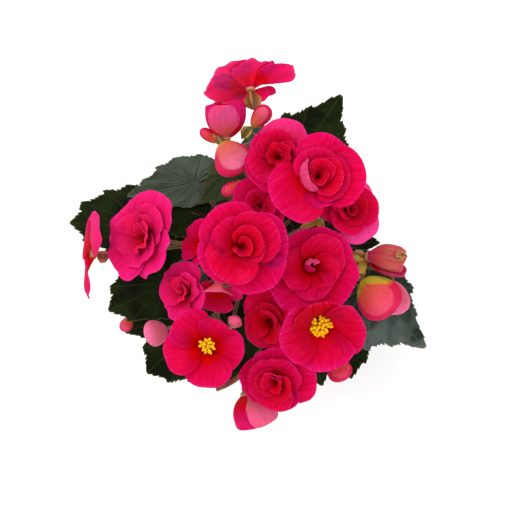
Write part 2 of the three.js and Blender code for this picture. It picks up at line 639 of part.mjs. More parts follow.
function limbs() {
  const up = new THREE.Vector3(0, 0, 1);
  const places = {};
  const crown = new THREE.CylinderGeometry(
    CROWN_RADIUS * 0.7,
    CROWN_RADIUS,
    CROWN_TOP - CROWN_BOTTOM,
    10,
  );
  const list = {
    crown: toSolid(crown.rotateX(Math.PI / 2).translate(0, 0, (CROWN_TOP + CROWN_BOTTOM) / 2)),
  };
  for (const [name, fork] of Object.entries(FORKS)) {
    places[name] = new THREE.Vector3(...fork.at);
    if (!fork.from) continue;
    const root = places[fork.from].clone();
    const flat = new THREE.Vector3(fork.at[0], fork.at[1], 0).normalize();
    if (fork.from === "crown") root.addScaledVector(flat, 3);
    const leaving = flat.clone().multiplyScalar(0.45).add(up).normalize();
    const arriving = places[name].clone().sub(root).normalize().lerp(up, 0.3).normalize();
    const end = places[name].clone().addScaledVector(arriving, 1);
    root.addScaledVector(leaving, -2);
    list[name] = bar(root, leaving, end, arriving, fork.radius, 3, 4);
  }
  for (const piece of [...BLOOMS, ...BUDS]) {
    const root = places[CARRIED_BY[piece.name]].clone();
    const end = piece.foot.clone().addScaledVector(piece.axis, -CLEARANCE);
    const leaving = end.clone().sub(root).normalize().lerp(up, 0.35).normalize();
    root.addScaledVector(leaving, -1);
    list[piece.name] = bar(root, leaving, end, piece.axis, piece.kind ? 1.3 : 1, 2, 4);
    if (piece.ovary) list[piece.name + "_ovary"] = ovarySolid(end, piece.axis, piece.ovary);
  }
  LEAVES.forEach((leaf, i) => {
    const outward = new THREE.Vector3(leaf.at[0], leaf.at[1], 0).normalize();
    const root = outward.clone().multiplyScalar(4.5).setZ(SOIL_TOP + 4 + 3 * (i % 3));
    const normal = axisOf(leaf.turn);
    const end = leaf.foot.clone().addScaledVector(normal, -BLADE / 2 - CLEARANCE - 1);
    const leaving = outward.clone().multiplyScalar(0.35).add(up).normalize();
    const arriving = outward.clone().multiplyScalar(0.8).add(normal).normalize();
    list[leaf.name] = bar(root, leaving, end, arriving, 1.6, 3, 4);
  });
  return list;
}

add("pot", potSolid(), "pot");
add("soil", soilSolid(), "soil");
add("stems", wasm.Manifold.union(Object.values(limbs())), "stem");
for (const name of ["bloom_south_cup", "bloom_southwest_open"]) {
  const bloom = BLOOMS.find((one) => one.name === name);
  add(name.replace("bloom", "stamens"), stamenSolid(bloom.seed), "stamen", bloom.foot, facing(bloom.towards, bloom.tilt));
}

export default plant;
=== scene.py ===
# A winter-flowering begonia in full bloom in a round nursery pot, dressed over the solids
# of its pot, soil, stalks, leaves, blooms and buds. Drawn in millimetres, +Z up, and placed
# in metres.
import math

import bpy
import numpy as np
from mathutils import Matrix, Quaternion, Vector


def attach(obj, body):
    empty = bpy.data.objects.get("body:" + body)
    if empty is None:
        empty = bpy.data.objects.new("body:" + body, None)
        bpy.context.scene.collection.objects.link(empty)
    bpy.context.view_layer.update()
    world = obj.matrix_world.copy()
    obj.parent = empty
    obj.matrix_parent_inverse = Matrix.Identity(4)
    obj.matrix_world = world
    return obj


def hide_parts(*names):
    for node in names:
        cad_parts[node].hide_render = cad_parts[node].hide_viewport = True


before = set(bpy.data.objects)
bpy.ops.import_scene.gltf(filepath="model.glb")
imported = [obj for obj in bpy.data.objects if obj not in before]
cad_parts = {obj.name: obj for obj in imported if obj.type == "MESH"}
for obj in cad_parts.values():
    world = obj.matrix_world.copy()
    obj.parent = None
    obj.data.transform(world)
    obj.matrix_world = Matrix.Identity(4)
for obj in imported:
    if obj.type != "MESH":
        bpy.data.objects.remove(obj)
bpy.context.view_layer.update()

# Camera. It hangs straight above the plant, a little off its middle, with the top of the
# picture towards +Y.
CAMERA_PLACE = (0.00896, -0.00768, 1.14)
SENSOR_WIDTH = 36
FOCAL_LENGTH = 96.61
bpy.ops.object.camera_add(location=CAMERA_PLACE, rotation=(0, 0, 0))
overhead_camera = bpy.context.object
overhead_camera.data.sensor_width = SENSOR_WIDTH
overhead_camera.data.lens = FOCAL_LENGTH
bpy.context.scene.camera = overhead_camera
bpy.context.scene.view_settings.view_transform = "Standard"

# Pot. A plain injection-moulded nursery pot of brown plastic, tapered so that pots nest, with
# a stiffening band round the mouth and six drain holes through its flat floor. It stands free.
MM = 0.001
POT_BASE = 46.0
POT_WALL = 1.8
POT_SHOULDER = 93.0
POT_HEIGHT = 108.0
POT_SLAB = 3.0  # the disc that the wall is drawn up from
DRAIN_HOLES = 6
DRAIN_RADIUS = 4
DRAIN_CIRCLE = 31


def clear_selection():
    if bpy.context.object and bpy.context.object.mode != "OBJECT":
        bpy.ops.object.mode_set(mode="OBJECT")
    bpy.ops.object.select_all(action="DESELECT")


def settle(piece):
    piece.data.transform(piece.matrix_world)
    piece.matrix_world = Matrix.Identity(4)


def select_faces(piece, wanted):
    bpy.ops.object.mode_set(mode="OBJECT")
    for face in piece.data.polygons:
        face.select = wanted(face)
    for edge in piece.data.edges:
        edge.select = False
    for corner in piece.data.vertices:
        corner.select = False
    for face in piece.data.polygons:
        if face.select:
            for i in face.vertices:
                piece.data.vertices[i].select = True
    bpy.ops.object.mode_set(mode="EDIT")
    bpy.ops.mesh.select_mode(type="FACE")


def draw_wall(stations):
    radius, height = stations[0]
    for next_radius, next_height in stations[1:]:
        bpy.ops.mesh.extrude_region_move(
            TRANSFORM_OT_translate={"value": (0, 0, (next_height - height) * MM)}
        )
        grow = next_radius / radius
        bpy.ops.transform.resize(value=(grow, grow, 1), center_override=(0, 0, next_height * MM))
        radius, height = next_radius, next_height


def finish_by_modifier(piece, kind, **settings):
    step = piece.modifiers.new(kind.lower(), kind)
    for key, value in settings.items():
        setattr(step, key, value)
    bpy.context.view_layer.objects.active = piece
    bpy.ops.object.modifier_apply(modifier=step.name)


def smooth_faces(piece, degrees):
    clear_selection()
    piece.select_set(True)
    bpy.context.view_layer.objects.active = piece
    bpy.ops.object.shade_smooth_by_angle(angle=math.radians(degrees))


def new_paint(name, rough, gloss):
    paint = bpy.data.materials.new(name)
    paint.use_nodes = True
    shader = paint.node_tree.nodes["Principled BSDF"]
    shader.inputs["Roughness"].default_value = rough
    shader.inputs["Specular IOR Level"].default_value = gloss
    return paint, shader


def add_node(paint, kind, links=(), **settings):
    node = paint.node_tree.nodes.new(kind)
    for key, value in settings.items():
        if key in node.inputs:
            node.inputs[key].default_value = value
        else:
            setattr(node, key, value)
    for socket, source in links:
        paint.node_tree.links.new(source, node.inputs[socket])
    return node


def ramp_node(paint, source, stops):
    node = add_node(paint, "ShaderNodeValToRGB", [("Fac", source)])
    bar = node.color_ramp
    while len(bar.elements) < len(stops):
        bar.elements.new(0.5)
    for element, (place, colour) in zip(bar.elements, stops):
        element.position = place
        element.color = (*colour, 1) if isinstance(colour, tuple) else (colour, colour, colour, 1)
    return node.outputs["Color"]


def layer_over(paint, below, above, blend="MULTIPLY", share=None):
    mix = add_node(paint, "ShaderNodeMix", data_type="RGBA", blend_type=blend)
    mix.inputs["Factor"].default_value = 1
    for socket, source in (("A", below), ("B", above), ("Factor", share)):
        if isinstance(source, tuple):
            mix.inputs[socket].default_value = (*source, 1)
        elif source is not None:
            paint.node_tree.links.new(source, mix.inputs[socket])
    return mix.outputs["Result"]


def give_colour(paint, shader, tint):
    paint.node_tree.links.new(tint, shader.inputs["Base Color"])


def object_grain(paint, scale, detail=3.0, stretch=(1, 1, 1)):
    where = add_node(paint, "ShaderNodeTexCoord").outputs["Object"]
    turned = add_node(paint, "ShaderNodeMapping", [("Vector", where)], Scale=stretch)
    place = [("Vector", turned.outputs["Vector"])]
    return add_node(paint, "ShaderNodeTexNoise", place, Scale=scale, Detail=detail).outputs["Fac"]


def vary_roughness(paint, shader, source, low, high):
    spread = add_node(paint, "ShaderNodeMapRange", [("Value", source)])
    spread.inputs["To Min"].default_value = low
    spread.inputs["To Max"].default_value = high
    paint.node_tree.links.new(spread.outputs["Result"], shader.inputs["Roughness"])


def raise_bump(paint, shader, source, strength, depth_mm):
    bump = add_node(paint, "ShaderNodeBump", [("Height", source)], Strength=strength)
    bump.inputs["Distance"].default_value = depth_mm * MM
    paint.node_tree.links.new(bump.outputs["Normal"], shader.inputs["Normal"])


def pot_paint():
    paint, shader = new_paint("brown_moulded_plastic", 0.5, 0.4)
    cloud = object_grain(paint, 14, 4)
    scuffs = object_grain(paint, 90, 6, (1, 1, 0.25))
    tint = ramp_node(paint, cloud, [(0.3, (0.21, 0.075, 0.035)), (0.7, (0.30, 0.115, 0.055))])
    wear = ramp_node(paint, scuffs, [(0.45, 1), (0.72, (0.78, 0.74, 0.7))])
    give_colour(paint, shader, layer_over(paint, tint, wear))
    vary_roughness(paint, shader, scuffs, 0.42, 0.68)
    raise_bump(paint, shader, object_grain(paint, 900, 2), 0.25, 0.12)
    return paint


clear_selection()
bpy.ops.mesh.primitive_cylinder_add(
    vertices=120, radius=POT_BASE * MM, depth=POT_SLAB * MM, location=(0, 0, POT_SLAB / 2 * MM)
)
pot = bpy.context.object
pot.name = "pot_moulding"
settle(pot)
select_faces(pot, lambda face: face.normal.z > 0.9)
draw_wall([
    (POT_BASE, POT_SLAB),
    (60.4, POT_SHOULDER),
    (63.6, POT_SHOULDER),
    (64.0, POT_SHOULDER + 0.6),
    (65.0, POT_HEIGHT - 0.7),
    (64.8, POT_HEIGHT - 0.1),
    (64.4, POT_HEIGHT),
    (63.6, POT_HEIGHT),
    (63.2, POT_HEIGHT - 0.5),
    (62.2, POT_SHOULDER + POT_WALL),
    (58.8, POT_SHOULDER),
    (POT_BASE - POT_WALL, POT_WALL),
])
bpy.ops.object.mode_set(mode="OBJECT")
clear_selection()
drills = []
for i in range(DRAIN_HOLES):
    about = math.tau * i / DRAIN_HOLES
    across, along = DRAIN_CIRCLE * MM * math.cos(about), DRAIN_CIRCLE * MM * math.sin(about)
    bpy.ops.mesh.primitive_cylinder_add(
        vertices=32, radius=DRAIN_RADIUS * MM, depth=8 * MM, location=(across, along, 1 * MM)
    )
    drills.append(bpy.context.object)
for drill in drills:
    finish_by_modifier(pot, "BOOLEAN", operation="DIFFERENCE", object=drill, solver="EXACT")
for drill in drills:
    bpy.data.objects.remove(drill)
finish_by_modifier(pot, "BEVEL", width=0.35 * MM, segments=2, limit_method="ANGLE",
                   angle_limit=math.radians(50))
smooth_faces(pot, 40)
pot.data.materials.append(pot_paint())
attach(pot, "root")
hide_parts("pot")

# Soil. Moist dark peat that fills the pot to below its band, crumbly on top, with loose lumps
# lying on it and one hole where the crown stands in it.
SOIL_FOOT = 44
SOIL_FLOOR = 2.1
SOIL_SLAB = 2  # the disc that its side is drawn up from
SOIL_RADIUS = 58
SOIL_EDGE = 91  # height at the pot's wall, from where it heaps up towards the crown
SOIL_SLOPE = 0.22
SOIL_HEAP = 5
SOIL_RINGS = [57.6, 56.6, *range(55, 10, -3), 11]
CROWN_HOLE = 9.4
HOLE_FLOOR = 72
LUMPS = 240


def dice(seed):
    state = seed
    while True:
        state = (state * 1664525 + 1013904223) % 4294967296
        yield state / 4294967296


def soil_height(radius):
    return SOIL_EDGE + min(SOIL_HEAP, (SOIL_RADIUS - radius) * SOIL_SLOPE)


def soil_swell(x, y):
    return 0.9 * math.sin(0.31 * x + 1) * math.cos(0.27 * y)


def copy_piece(model, name):
    twin = bpy.data.objects.new(name, model.data.copy())
    bpy.context.collection.objects.link(twin)
    return twin


def join_pieces(pieces, name):
    clear_selection()
    for piece in pieces:
        piece.select_set(True)
    bpy.context.view_layer.objects.active = pieces[0]
    bpy.ops.object.join()
    joined = bpy.context.object
    joined.name = name
    joined.data.name = name
    return joined


def peat_paint():
    paint, shader = new_paint("moist_peat", 0.95, 0.2)
    clods = object_grain(paint, 120, 6)
    give_colour(paint, shader, ramp_node(paint, clods, [
        (0.3, (0.008, 0.005, 0.003)), (0.55, (0.03, 0.018, 0.01)), (0.8, (0.07, 0.042, 0.024)),
    ]))
    vary_roughness(paint, shader, clods, 0.8, 1.0)
    raise_bump(paint, shader, object_grain(paint, 420, 5), 0.9, 0.8)
    return paint


clear_selection()
bpy.ops.mesh.primitive_cylinder_add(
    vertices=144, radius=SOIL_FOOT * MM, depth=SOIL_SLAB * MM,
    location=(0, 0, (SOIL_FLOOR + SOIL_SLAB / 2) * MM),
)
soil = bpy.context.object
settle(soil)
select_faces(soil, lambda face: face.normal.z > 0.9)
draw_wall(
    [(SOIL_FOOT, SOIL_FLOOR + SOIL_SLAB), (57.9, SOIL_EDGE)]
    + [(ring, soil_height(ring)) for ring in (*SOIL_RINGS, CROWN_HOLE)]
    + [(CROWN_HOLE, HOLE_FLOOR)]
)
bpy.ops.object.mode_set(mode="OBJECT")
for corner in soil.data.vertices:
    x, y, z = (c / MM for c in corner.co)
    reach = math.hypot(x, y)
    if z > SOIL_EDGE - 0.5 and reach > CROWN_HOLE + 0.4:
        crumb = 0.55 * math.sin(1.9 * x + 2 * math.sin(0.7 * y)) * math.sin(2.3 * y + math.sin(0.9 * x))
        corner.co.z += (soil_swell(x, y) + crumb) * MM * min(1, (SOIL_RADIUS + 0.2 - reach) / 2)
smooth_faces(soil, 60)
clear_selection()
bpy.ops.mesh.primitive_ico_sphere_add(subdivisions=1, radius=1)
lump = bpy.context.object
lumps = []
draw = dice(7)
for i in range(LUMPS):
    reach = 11 + 45 * math.sqrt(next(draw))
    about = math.tau * next(draw)
    size = 0.6 + 1.5 * next(draw) ** 2
    crumb = copy_piece(lump, "lump")
    for corner in crumb.data.vertices:
        corner.co *= 0.75 + 0.5 * next(draw)
    x, y = reach * math.cos(about), reach * math.sin(about)
    z = soil_height(reach) + soil_swell(x, y)
    spot = Matrix.Translation(Vector((x, y, z)) * MM) @ Matrix.Rotation(about * 3, 4, "Z")
    crumb.data.transform(spot @ Matrix.Diagonal((size * MM, size * 0.8 * MM, size * 0.6 * MM, 1)))
    lumps.append(crumb)
bpy.data.objects.remove(lump)
soil = join_pieces([soil] + lumps, "soil_peat")
soil.data.materials.append(peat_paint())
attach(soil, "root")
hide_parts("soil")

# Petals of the double blooms. Each is one thin, soft sheet, hot pink and faintly streaked in
# front, deep red at its foot and paler behind. They sit in rings on the end of the stalk and
# lap like roof tiles, the innermost curled into a swirl.
PETAL = 0.5  # thickness
SEAT_FOOT = 2.6
SEAT_TOP = 4.2
SEAT_HEIGHT = 4.4

# Rings from the outermost in: how many petals, their length and half width as shares of the
# bloom's radius, the slope at the foot and at the rim, where the foot stands, how far a
# petal laps its neighbour, and the widest angle that half of it covers.
ROSE_RINGS = [
    (4, 1.0, 1.12, 30, -4, 3.2, 1.8, 1.6, 76),
    (3, 0.84, 1.0, 54, 10, 2.8, 2.8, 1.4, 92),
    (2, 0.58, 0.66, 78, 48, 1.8, 3.4, 1.1, 116),
    (3, 0.68, 0.74, 68, 26, 2.3, 3.1, 1.2, 100),
    (2, 0.46, 0.50, 84, 58, 1.3, 3.6, 0.8, 118),
]
LEVEL_TONES = [0.75, 0.4, 0.1, 0.15, 0.05]  # how cool a pink each ring turns


def facing(towards, tilt, roll=0):
    up, side = Vector((0, 0, 1)), Vector((0, 1, 0))
    return (
        Quaternion(up, math.radians(towards))
        @ Quaternion(side, math.radians(tilt))
        @ Quaternion(up, math.radians(roll - towards))
    )


def ease(x, low, high):
    t = np.clip((x - low) / (high - low), 0, 1)
    return t * t * (3 - 2 * t)


def petal_points(p, u, v):
    rise, turned = math.radians(p["rise"]), math.radians(p["fall"] - p["rise"])
    corner = p["corner"] * (0.13 * u * u * v * v + 0.1 * u**4 * v**3)
    scallop = np.sin(4.7 * u + p["phase"]) + 0.6 * np.sin(9.5 * u + 2 * p["phase"])
    slope = rise + turned * v * (1 - corner + p["scallop"] * v**4 * scallop)
    bowl = p["length"] / turned
    reach = p["foot"] + bowl * (np.sin(slope) - math.sin(rise))
    height = p["lift"] + bowl * (math.cos(rise) - np.cos(slope))
    side = u * p["half_width"] * np.sin(math.pi * (0.1 + 0.6 * v)) / reach
    widest = math.radians(p["span"]) * (0.55 + 0.45 * ease(v, 0, 0.5))
    turn = side / np.sqrt(1 + (side / widest) ** 2)
    front = p["lap"] * u * (0.3 + 0.7 * ease(v, 0, 0.4))
    front = front + p["wave"] * v * v * np.sin(2.2 * math.pi * u + p["azimuth"])
    ruffle = np.sin(8.3 * u + p["phase"]) + 0.7 * np.sin(15.7 * u + 1.7 * p["phase"] + 3 * v)
    front = front + p["ruffle"] * v**3 * ruffle - p["curl"] * ease(v, 0.7, 1.0) ** 2
    front = front + p["pleat"] * v * (1 - u * u) * np.sin(11 * u + 1.5 * v + p["phase"])
    out = reach - front * np.sin(slope)
    about = math.radians(p["azimuth"]) + turn
    return np.stack([out * np.cos(about), out * np.sin(about), height + front * np.cos(slope)], -1)


def petals_of(rings, radius, roll, seed, own_places=(), **habit):
    draw = dice(seed)
    petals = []
    for level, (count, length, half, rise, fall, foot, lift, lap, span) in enumerate(rings):
        places = own_places[level] if level < len(own_places) else [
            (roll + 360 * (i + level * 0.4) / count, 1, 1) for i in range(count)
        ]
        loose = 6 if level < 2 else 20
        for azimuth, longer, wider, *more in places:
            # a bloom's pink habit pales each of its petals a little by default: painted sheen
            steeper, closing, paler = (*more, *(0, 0, habit.get("pink", 0))[len(more):])
            petals.append({
                "azimuth": azimuth + loose * (next(draw) - 0.5),
                "length": radius * length * longer * (1 + 0.06 * (next(draw) - 0.5)),
                "half_width": radius * half * wider,
                "rise": rise + steeper + 4 * (next(draw) - 0.5),
                "fall": fall + steeper + closing + 6 * (next(draw) - 0.5),
                "foot": foot, "lift": lift, "lap": lap, "span": span, "wave": 0.022 * radius,
                "level": level, "pale": paler,
            })
    for k, petal in enumerate(petals):
        petal["phase"] = 2.1 * seed + 1.3 * k
        petal["ruffle"] = 0.012 * radius * habit.get("ruffled", 1)
        petal["scallop"] = 0.012 * habit.get("ruffled", 1)
        petal["curl"] = 0.02 * radius
        petal["pleat"] = habit.get("pleated", 0)
        petal["corner"] = habit.get("rounded", 1)
        petal["tone"] = LEVEL_TONES[petal["level"]] + 0.25 * ((0.37 * seed + 0.61 * k) % 1)
    return petals


def grid_blank(across, along):
    clear_selection()
    bpy.ops.mesh.primitive_grid_add(x_subdivisions=across, y_subdivisions=along, size=2)
    return bpy.context.object


def blank_places(mesh):
    flat = np.empty(len(mesh.vertices) * 3, np.float32)
    mesh.vertices.foreach_get("co", flat)
    return flat.reshape(-1, 3).astype(float)


def set_points(mesh, points):
    mesh.vertices.foreach_set("co", points.astype(np.float32).ravel())
    mesh.update()


def set_labels(mesh, **labels):
    for label, values in labels.items():
        layer = mesh.attributes.new(label, "FLOAT", "POINT")
        layer.data.foreach_set("value", np.full(len(mesh.vertices), values, np.float32))


def read_label(paint, label):
    node = add_node(paint, "ShaderNodeAttribute", attribute_name=label, attribute_type="GEOMETRY")
    return node.outputs["Fac"]


def shape_petal(blank, petal):
    sheet = copy_piece(blank, "petal")
    flat = blank_places(sheet.data)
    set_points(sheet.data, petal_points(petal, -flat[:, 0], (flat[:, 1] + 1) / 2))
    set_labels(sheet.data, tone=petal["tone"], pale=petal["pale"])
    return sheet


def set_down(piece, foot, turn):
    piece.data.transform(
        Matrix.Translation(Vector(foot) * MM) @ turn.to_matrix().to_4x4() @ Matrix.Scale(MM, 4)
    )


def math_node(paint, operation, *terms, **settings):
    node = add_node(paint, "ShaderNodeMath", operation=operation, **settings)
    for i, term in enumerate(terms):
        if isinstance(term, (int, float)):
            node.inputs[i].default_value = term
        else:
            paint.node_tree.links.new(term, node.inputs[i])
    return node.outputs[0]


def petal_paint(name, foot, warm, cool, cool_rim, ghost, streak=0.12):
    paint, shader = new_paint(name, 0.7, 0.02)
    shader.inputs["Subsurface Weight"].default_value = 0.5
    shader.inputs["Subsurface Radius"].default_value = (1.0, 0.05, 0.2)
    shader.inputs["Subsurface Scale"].default_value = 0.005
    shader.inputs["Sheen Weight"].default_value = 0.04
    shader.inputs["Sheen Roughness"].default_value = 0.45
    shader.inputs["Sheen Tint"].default_value = (1.0, 0.1, 0.4, 1)
    place = add_node(paint, "ShaderNodeUVMap", uv_map="UVMap").outputs["UV"]
    outwards = add_node(paint, "ShaderNodeSeparateXYZ", [("Vector", place)]).outputs["Y"]
    pale = read_label(paint, "pale")
    # inner petals stay warm to their rim, outer ones turn cool from the middle on, and
    # those in shade within a cup are painted deep red all over, as shade
    throat = (warm[0] * 0.9, 0, 0)
    turning = tuple(0.46 * (a + b) for a, b in zip(warm, cool))
    warm_tint = ramp_node(paint, outwards, [(0, foot), (0.35, throat), (0.8, warm)])
    cool_tint = ramp_node(paint, outwards, [
        (0.02, foot), (0.28, throat), (0.52, turning), (0.84, cool), (1, cool_rim),
    ])
    tint = layer_over(paint, warm_tint, cool_tint, "MIX", read_label(paint, "tone"))
    # painted shade: a negative pale share mixes the petal towards deep red
    deep = math_node(paint, "MULTIPLY", pale, -1, use_clamp=True)
    tint = layer_over(paint, tint, ramp_node(paint, outwards, [(0, foot), (0.8, throat)]), "MIX", deep)
    pale_tint = ramp_node(paint, outwards, [(0, ghost[0]), (0.6, ghost[1])])
    tint = layer_over(paint, tint, pale_tint, "MIX", pale)
    fan = add_node(paint, "ShaderNodeMapping", [("Vector", place)], Scale=(34, 2.2, 1)).outputs["Vector"]
    vein = add_node(paint, "ShaderNodeTexNoise", [("Vector", fan)], Scale=1.0, Detail=3.0).outputs["Fac"]
    tint = layer_over(paint, tint, ramp_node(paint, vein, [(0.3, 1 - streak), (0.7, 1)]))
    glow = ramp_node(paint, vein, [(0.5, 0), (0.75, (0.07, 0.006, 0.034))])
    tint = layer_over(paint, tint, glow, "ADD", ramp_node(paint, outwards, [(0.45, 0), (0.9, 1)]))
    # painted highlight: its very edge shows light, here and there
    edge = ramp_node(paint, outwards, [(0.93, 0), (1, (0.06, 0.012, 0.045))])
    tint = layer_over(paint, tint, edge, "ADD", ramp_node(paint, vein, [(0.45, 0), (0.6, 1)]))
    # the sheet catches the light in pale patches
    patch = ramp_node(paint, object_grain(paint, 70, 2), [(0.55, 0), (0.8, (0.05, 0.002, 0.02))])
    give_colour(paint, shader, layer_over(paint, tint, patch, "ADD"))
    vary_roughness(paint, shader, object_grain(paint, 300, 3), 0.6, 0.8)
    raise_bump(paint, shader, vein, 0.3, 0.3)
    return paint


def grainy_paint(name, rough, gloss, scale, detail, stops, strength, depth_mm):
    paint, shader = new_paint(name, rough, gloss)
    grain = object_grain(paint, scale, detail)
    give_colour(paint, shader, ramp_node(paint, grain, stops))
    raise_bump(paint, shader, grain, strength, depth_mm)
    return paint


# the two tints, at the foot and farther out, of a petal that shows its paler side. On some
# fronts they are a painted sheen, on petals seen at a slant.
CLEAR_GHOST = ((0.56, 0.004, 0.06), (0.76, 0.05, 0.26))
DIM_GHOST = ((0.50, 0.006, 0.05), (0.56, 0.045, 0.17))
hot_front = petal_paint(
    "petal_hot_pink", (0.20, 0, 0), (0.47, 0, 0.005), (0.48, 0, 0.06), (0.52, 0.002, 0.10), CLEAR_GHOST
)
open_front = petal_paint(
    "petal_open_pink", (0.26, 0, 0), (0.43, 0, 0.012), (0.44, 0, 0.05), (0.47, 0.002, 0.085), DIM_GHOST
)
# the cup's front: partly its own deeper red, partly painted shade inside the cup
cup_front = petal_paint(
    "petal_cup_red", (0.26, 0, 0), (0.42, 0, 0.004), (0.47, 0, 0.05), (0.52, 0.003, 0.14), DIM_GHOST
)
# a lighter copy of the hot pink front: painted light for the two west blooms, which tilt away and lie shaded
# in their folds
lit_front = petal_paint(
    "petal_lit_pink", (0.24, 0, 0), (0.55, 0, 0.025), (0.62, 0.002, 0.11), (0.66, 0.008, 0.16), CLEAR_GHOST
)
pale_back = petal_paint(
    "petal_back_pale", (0.44, 0.01, 0.02), (0.50, 0.002, 0.06), (0.55, 0.008, 0.14), (0.50, 0.004, 0.09),
    ((0.62, 0.12, 0.09), (0.66, 0.09, 0.19)), 0.22,
)
# a brighter pink back for the far north bloom, whose backs face up and away: partly its own magenta, partly
# painted light
pink_back = petal_paint(
    "petal_back_pink", (0.54, 0, 0.03), (0.70, 0.002, 0.08), (0.78, 0.01, 0.15), (0.80, 0.03, 0.22),
    ((0.62, 0.03, 0.10), (0.80, 0.10, 0.26)), 0.18,
)
# a much brighter copy of the pale back for the pale lobe of the bloom under the crown: painted light where
# it lies in the crown bloom's shade
coral_back = petal_paint(
    "petal_back_coral", (0.50, 0, 0.02), (0.70, 0.01, 0.06), (0.80, 0.02, 0.12), (0.80, 0.03, 0.14),
    ((0.80, 0.05, 0.08), (0.95, 0.14, 0.22)), 0.2,
)
receptacle_green = grainy_paint("receptacle_green", 0.5, 0.3, 260, 3, [
    (0.3, (0.36, 0.20, 0.06)), (0.7, (0.50, 0.14, 0.09)),
], 0.3, 0.2)
# painted shade: the top of each bloom's seat, in the hollow of its heart, is dark red
heart_red = grainy_paint("bloom_heart_red", 0.8, 0.02, 700, 3, [
    (0.3, (0.05, 0, 0)), (0.7, (0.14, 0, 0.002)),
], 0.5, 0.2)
stalk_feet = []  # each foot where a stalk ends: name, place and direction


# depth says how far behind its heart a bloom's foot lies, as a share of its radius
def build_bloom(rings, depth, name, at, towards, tilt, radius, roll, seed, own_places,
                front=None, back=None, grid=(26, 20), **habit):
    turn = facing(towards, tilt)
    axis = turn @ Vector((0, 0, 1))
    foot = Vector(at) - axis * depth * radius
    clear_selection()
    bpy.ops.mesh.primitive_cone_add(
        vertices=20, radius1=SEAT_FOOT, radius2=SEAT_TOP, depth=SEAT_HEIGHT, location=(0, 0, SEAT_HEIGHT / 2)
    )
    seat = bpy.context.object
    settle(seat)
    blanks = [grid_blank(*grid), grid_blank(grid[0] * 3 // 4, grid[1] * 3 // 4)]
    sheets = [shape_petal(blanks[petal["level"] > 1], petal)
              for petal in petals_of(rings, radius, roll, seed, own_places, **habit)]
    for blank in blanks:
        bpy.data.objects.remove(blank)
    flower = join_pieces(sheets, name.replace("bloom", "petals"))
    flower.data.materials.append(front or hot_front)
    flower.data.materials.append(back or pale_back)
    finish_by_modifier(flower, "SOLIDIFY", thickness=PETAL, offset=0, material_offset=1)
    seat.data.materials.append(receptacle_green)
    seat.data.materials.append(heart_red)
    for face in seat.data.polygons:
        face.material_index = 1 if face.normal.z > 0.9 else 0
    flower = join_pieces([flower, seat], name.replace("bloom", "petals"))
    set_down(flower, foot, turn)
    smooth_faces(flower, 55)
    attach(flower, "root")
    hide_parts(name)
    stalk_feet.append((name, foot, axis))
    return flower


# Each bloom: its name, the place of its heart, the bearing and angle that it leans at, its
# radius, how far its rings are turned, its seed, its petals ring by ring, and its habit. Each
# petal: its bearing, how much longer and wider it is than its ring says, and where it has
# them, how much steeper, more closed and paler. Where the last is negative, it is painted
# deep red, as shade.
for *bloom, habit in [
    ("bloom_crown", (-4, 2, 253), 0, 3, 28, 40, 11, [
        [(128, 1, 1.25), (10, 0.98, 1.15), (-52, 1.08, 1.25, -4), (205, 0.94, 1.2)],
        [(36, 1.14, 1.2), (238, 1.1, 1.3), (140, 0.92, 1)],
        [(50, 1.3, 1.2, -8)],
        [(-12, 1.0, 1.3), (205, 0.62, 1.2, -16)],
        [(25, 1.3, 1.3), (-75, 1.0, 1)],
    ], {}),
    ("bloom_northeast", (44, 46, 251), 60, 8, 28, 10, 12, [
        [(72, 0.94, 1.3, 4), (2, 1.02, 1.3, 4), (-60, 0.66, 1.1, 8), (217, 1.1, 1.3, -6)],
        [(105, 0.8, 1.2), (-15, 0.88, 1.2), (197, 0.96, 0.85, -50, 185, 0.4)],
        [(70, 1.1, 1.2)],
        [(-20, 1.05, 1.4), (150, 0.7, 1.1, -6)],
        [(-60, 1.2, 1.2), (110, 0.9, 1)],
    ], {}),
    ("bloom_north", (20, 60, 234), 200, 10, 23, 80, 13, [
        # the top guard's paler share is a painted sheen
        [(72, 1.0, 1.15, 0, 0, 0.35), (150, 0.8, 1.2), (228, 0.96, 1.25), (322, 0.9, 1.1)],
        [(100, 0.9, 1.2), (212, 1, 1.3), (325, 1, 1)],
        [(40, 1.3, 1.2)],
        [(5, 1.1, 0.9), (-30, 0.95, 0.9), (205, 0.9, 1.3, -20)],
        [(10, 1.3, 1), (-20, 1.1, 0.9), (160, 1, 1.2, -14)],
    ], {"ruffled": 2}),
    ("bloom_east", (65, 26, 222), 20, 22, 19.5, 20, 14, [
        [(72, 1.1, 1.25, -4, 0, 0.9), (-52, 1.12, 1.25, -4, 0, 0.8), (165, 1, 0.95), (15, 0.95, 1, 0, 0, 1)],
        [(5, 1.16, 1.25), (125, 1.12, 1.2), (245, 1.12, 1.2)],
        [(30, 1.25, 1.2, -8)],
        [(60, 1, 1), (180, 1, 1), (300, 1, 1)],
    ], {}),
    ("bloom_inner_south", (14.5, -46.5, 216), 200, 34, 17, 70, 18, [
        [
            # negative pale shares: painted shade, deep red all over
            (120, 1.14, 1.2, 0, 0, -0.4), (215, 1.12, 1.25, 0, 0, -0.3),
            (20, 1.1, 1.2, 0, 0, -0.3), (300, 1.1, 1.2, 0, 0, -0.3),
        ],
        [(70, 1, 1, 0, 0, -0.6), (190, 1, 1, 0, 0, -0.6), (310, 1, 1, 0, 0, -0.6)], [],
        [(60, 1.1, 1.2, 0, 0, -0.5), (200, 1, 1.2, 0, 0, -0.5)], [],
    ], {}),
    ("bloom_south", (19, -85, 211), 230, 24, 23, 25, 23, [
        [(95, 0.9, 1.15), (3, 1.08, 1.2, -3), (-82, 0.84, 1.15), (188, 0.98, 1.15)],
        [(50, 1, 1.2), (165, 1, 1.3), (265, 1.05, 1.2)],
        [(140, 1.2, 1.1)],
        [(180, 1, 1.3), (330, 1.1, 1.2)],
        [(140, 1.2, 1.2), (-40, 1.3, 1.2)],
    ], {"ruffled": 1.8}),
]:
    build_bloom(ROSE_RINGS, 0.2, *bloom, **habit)

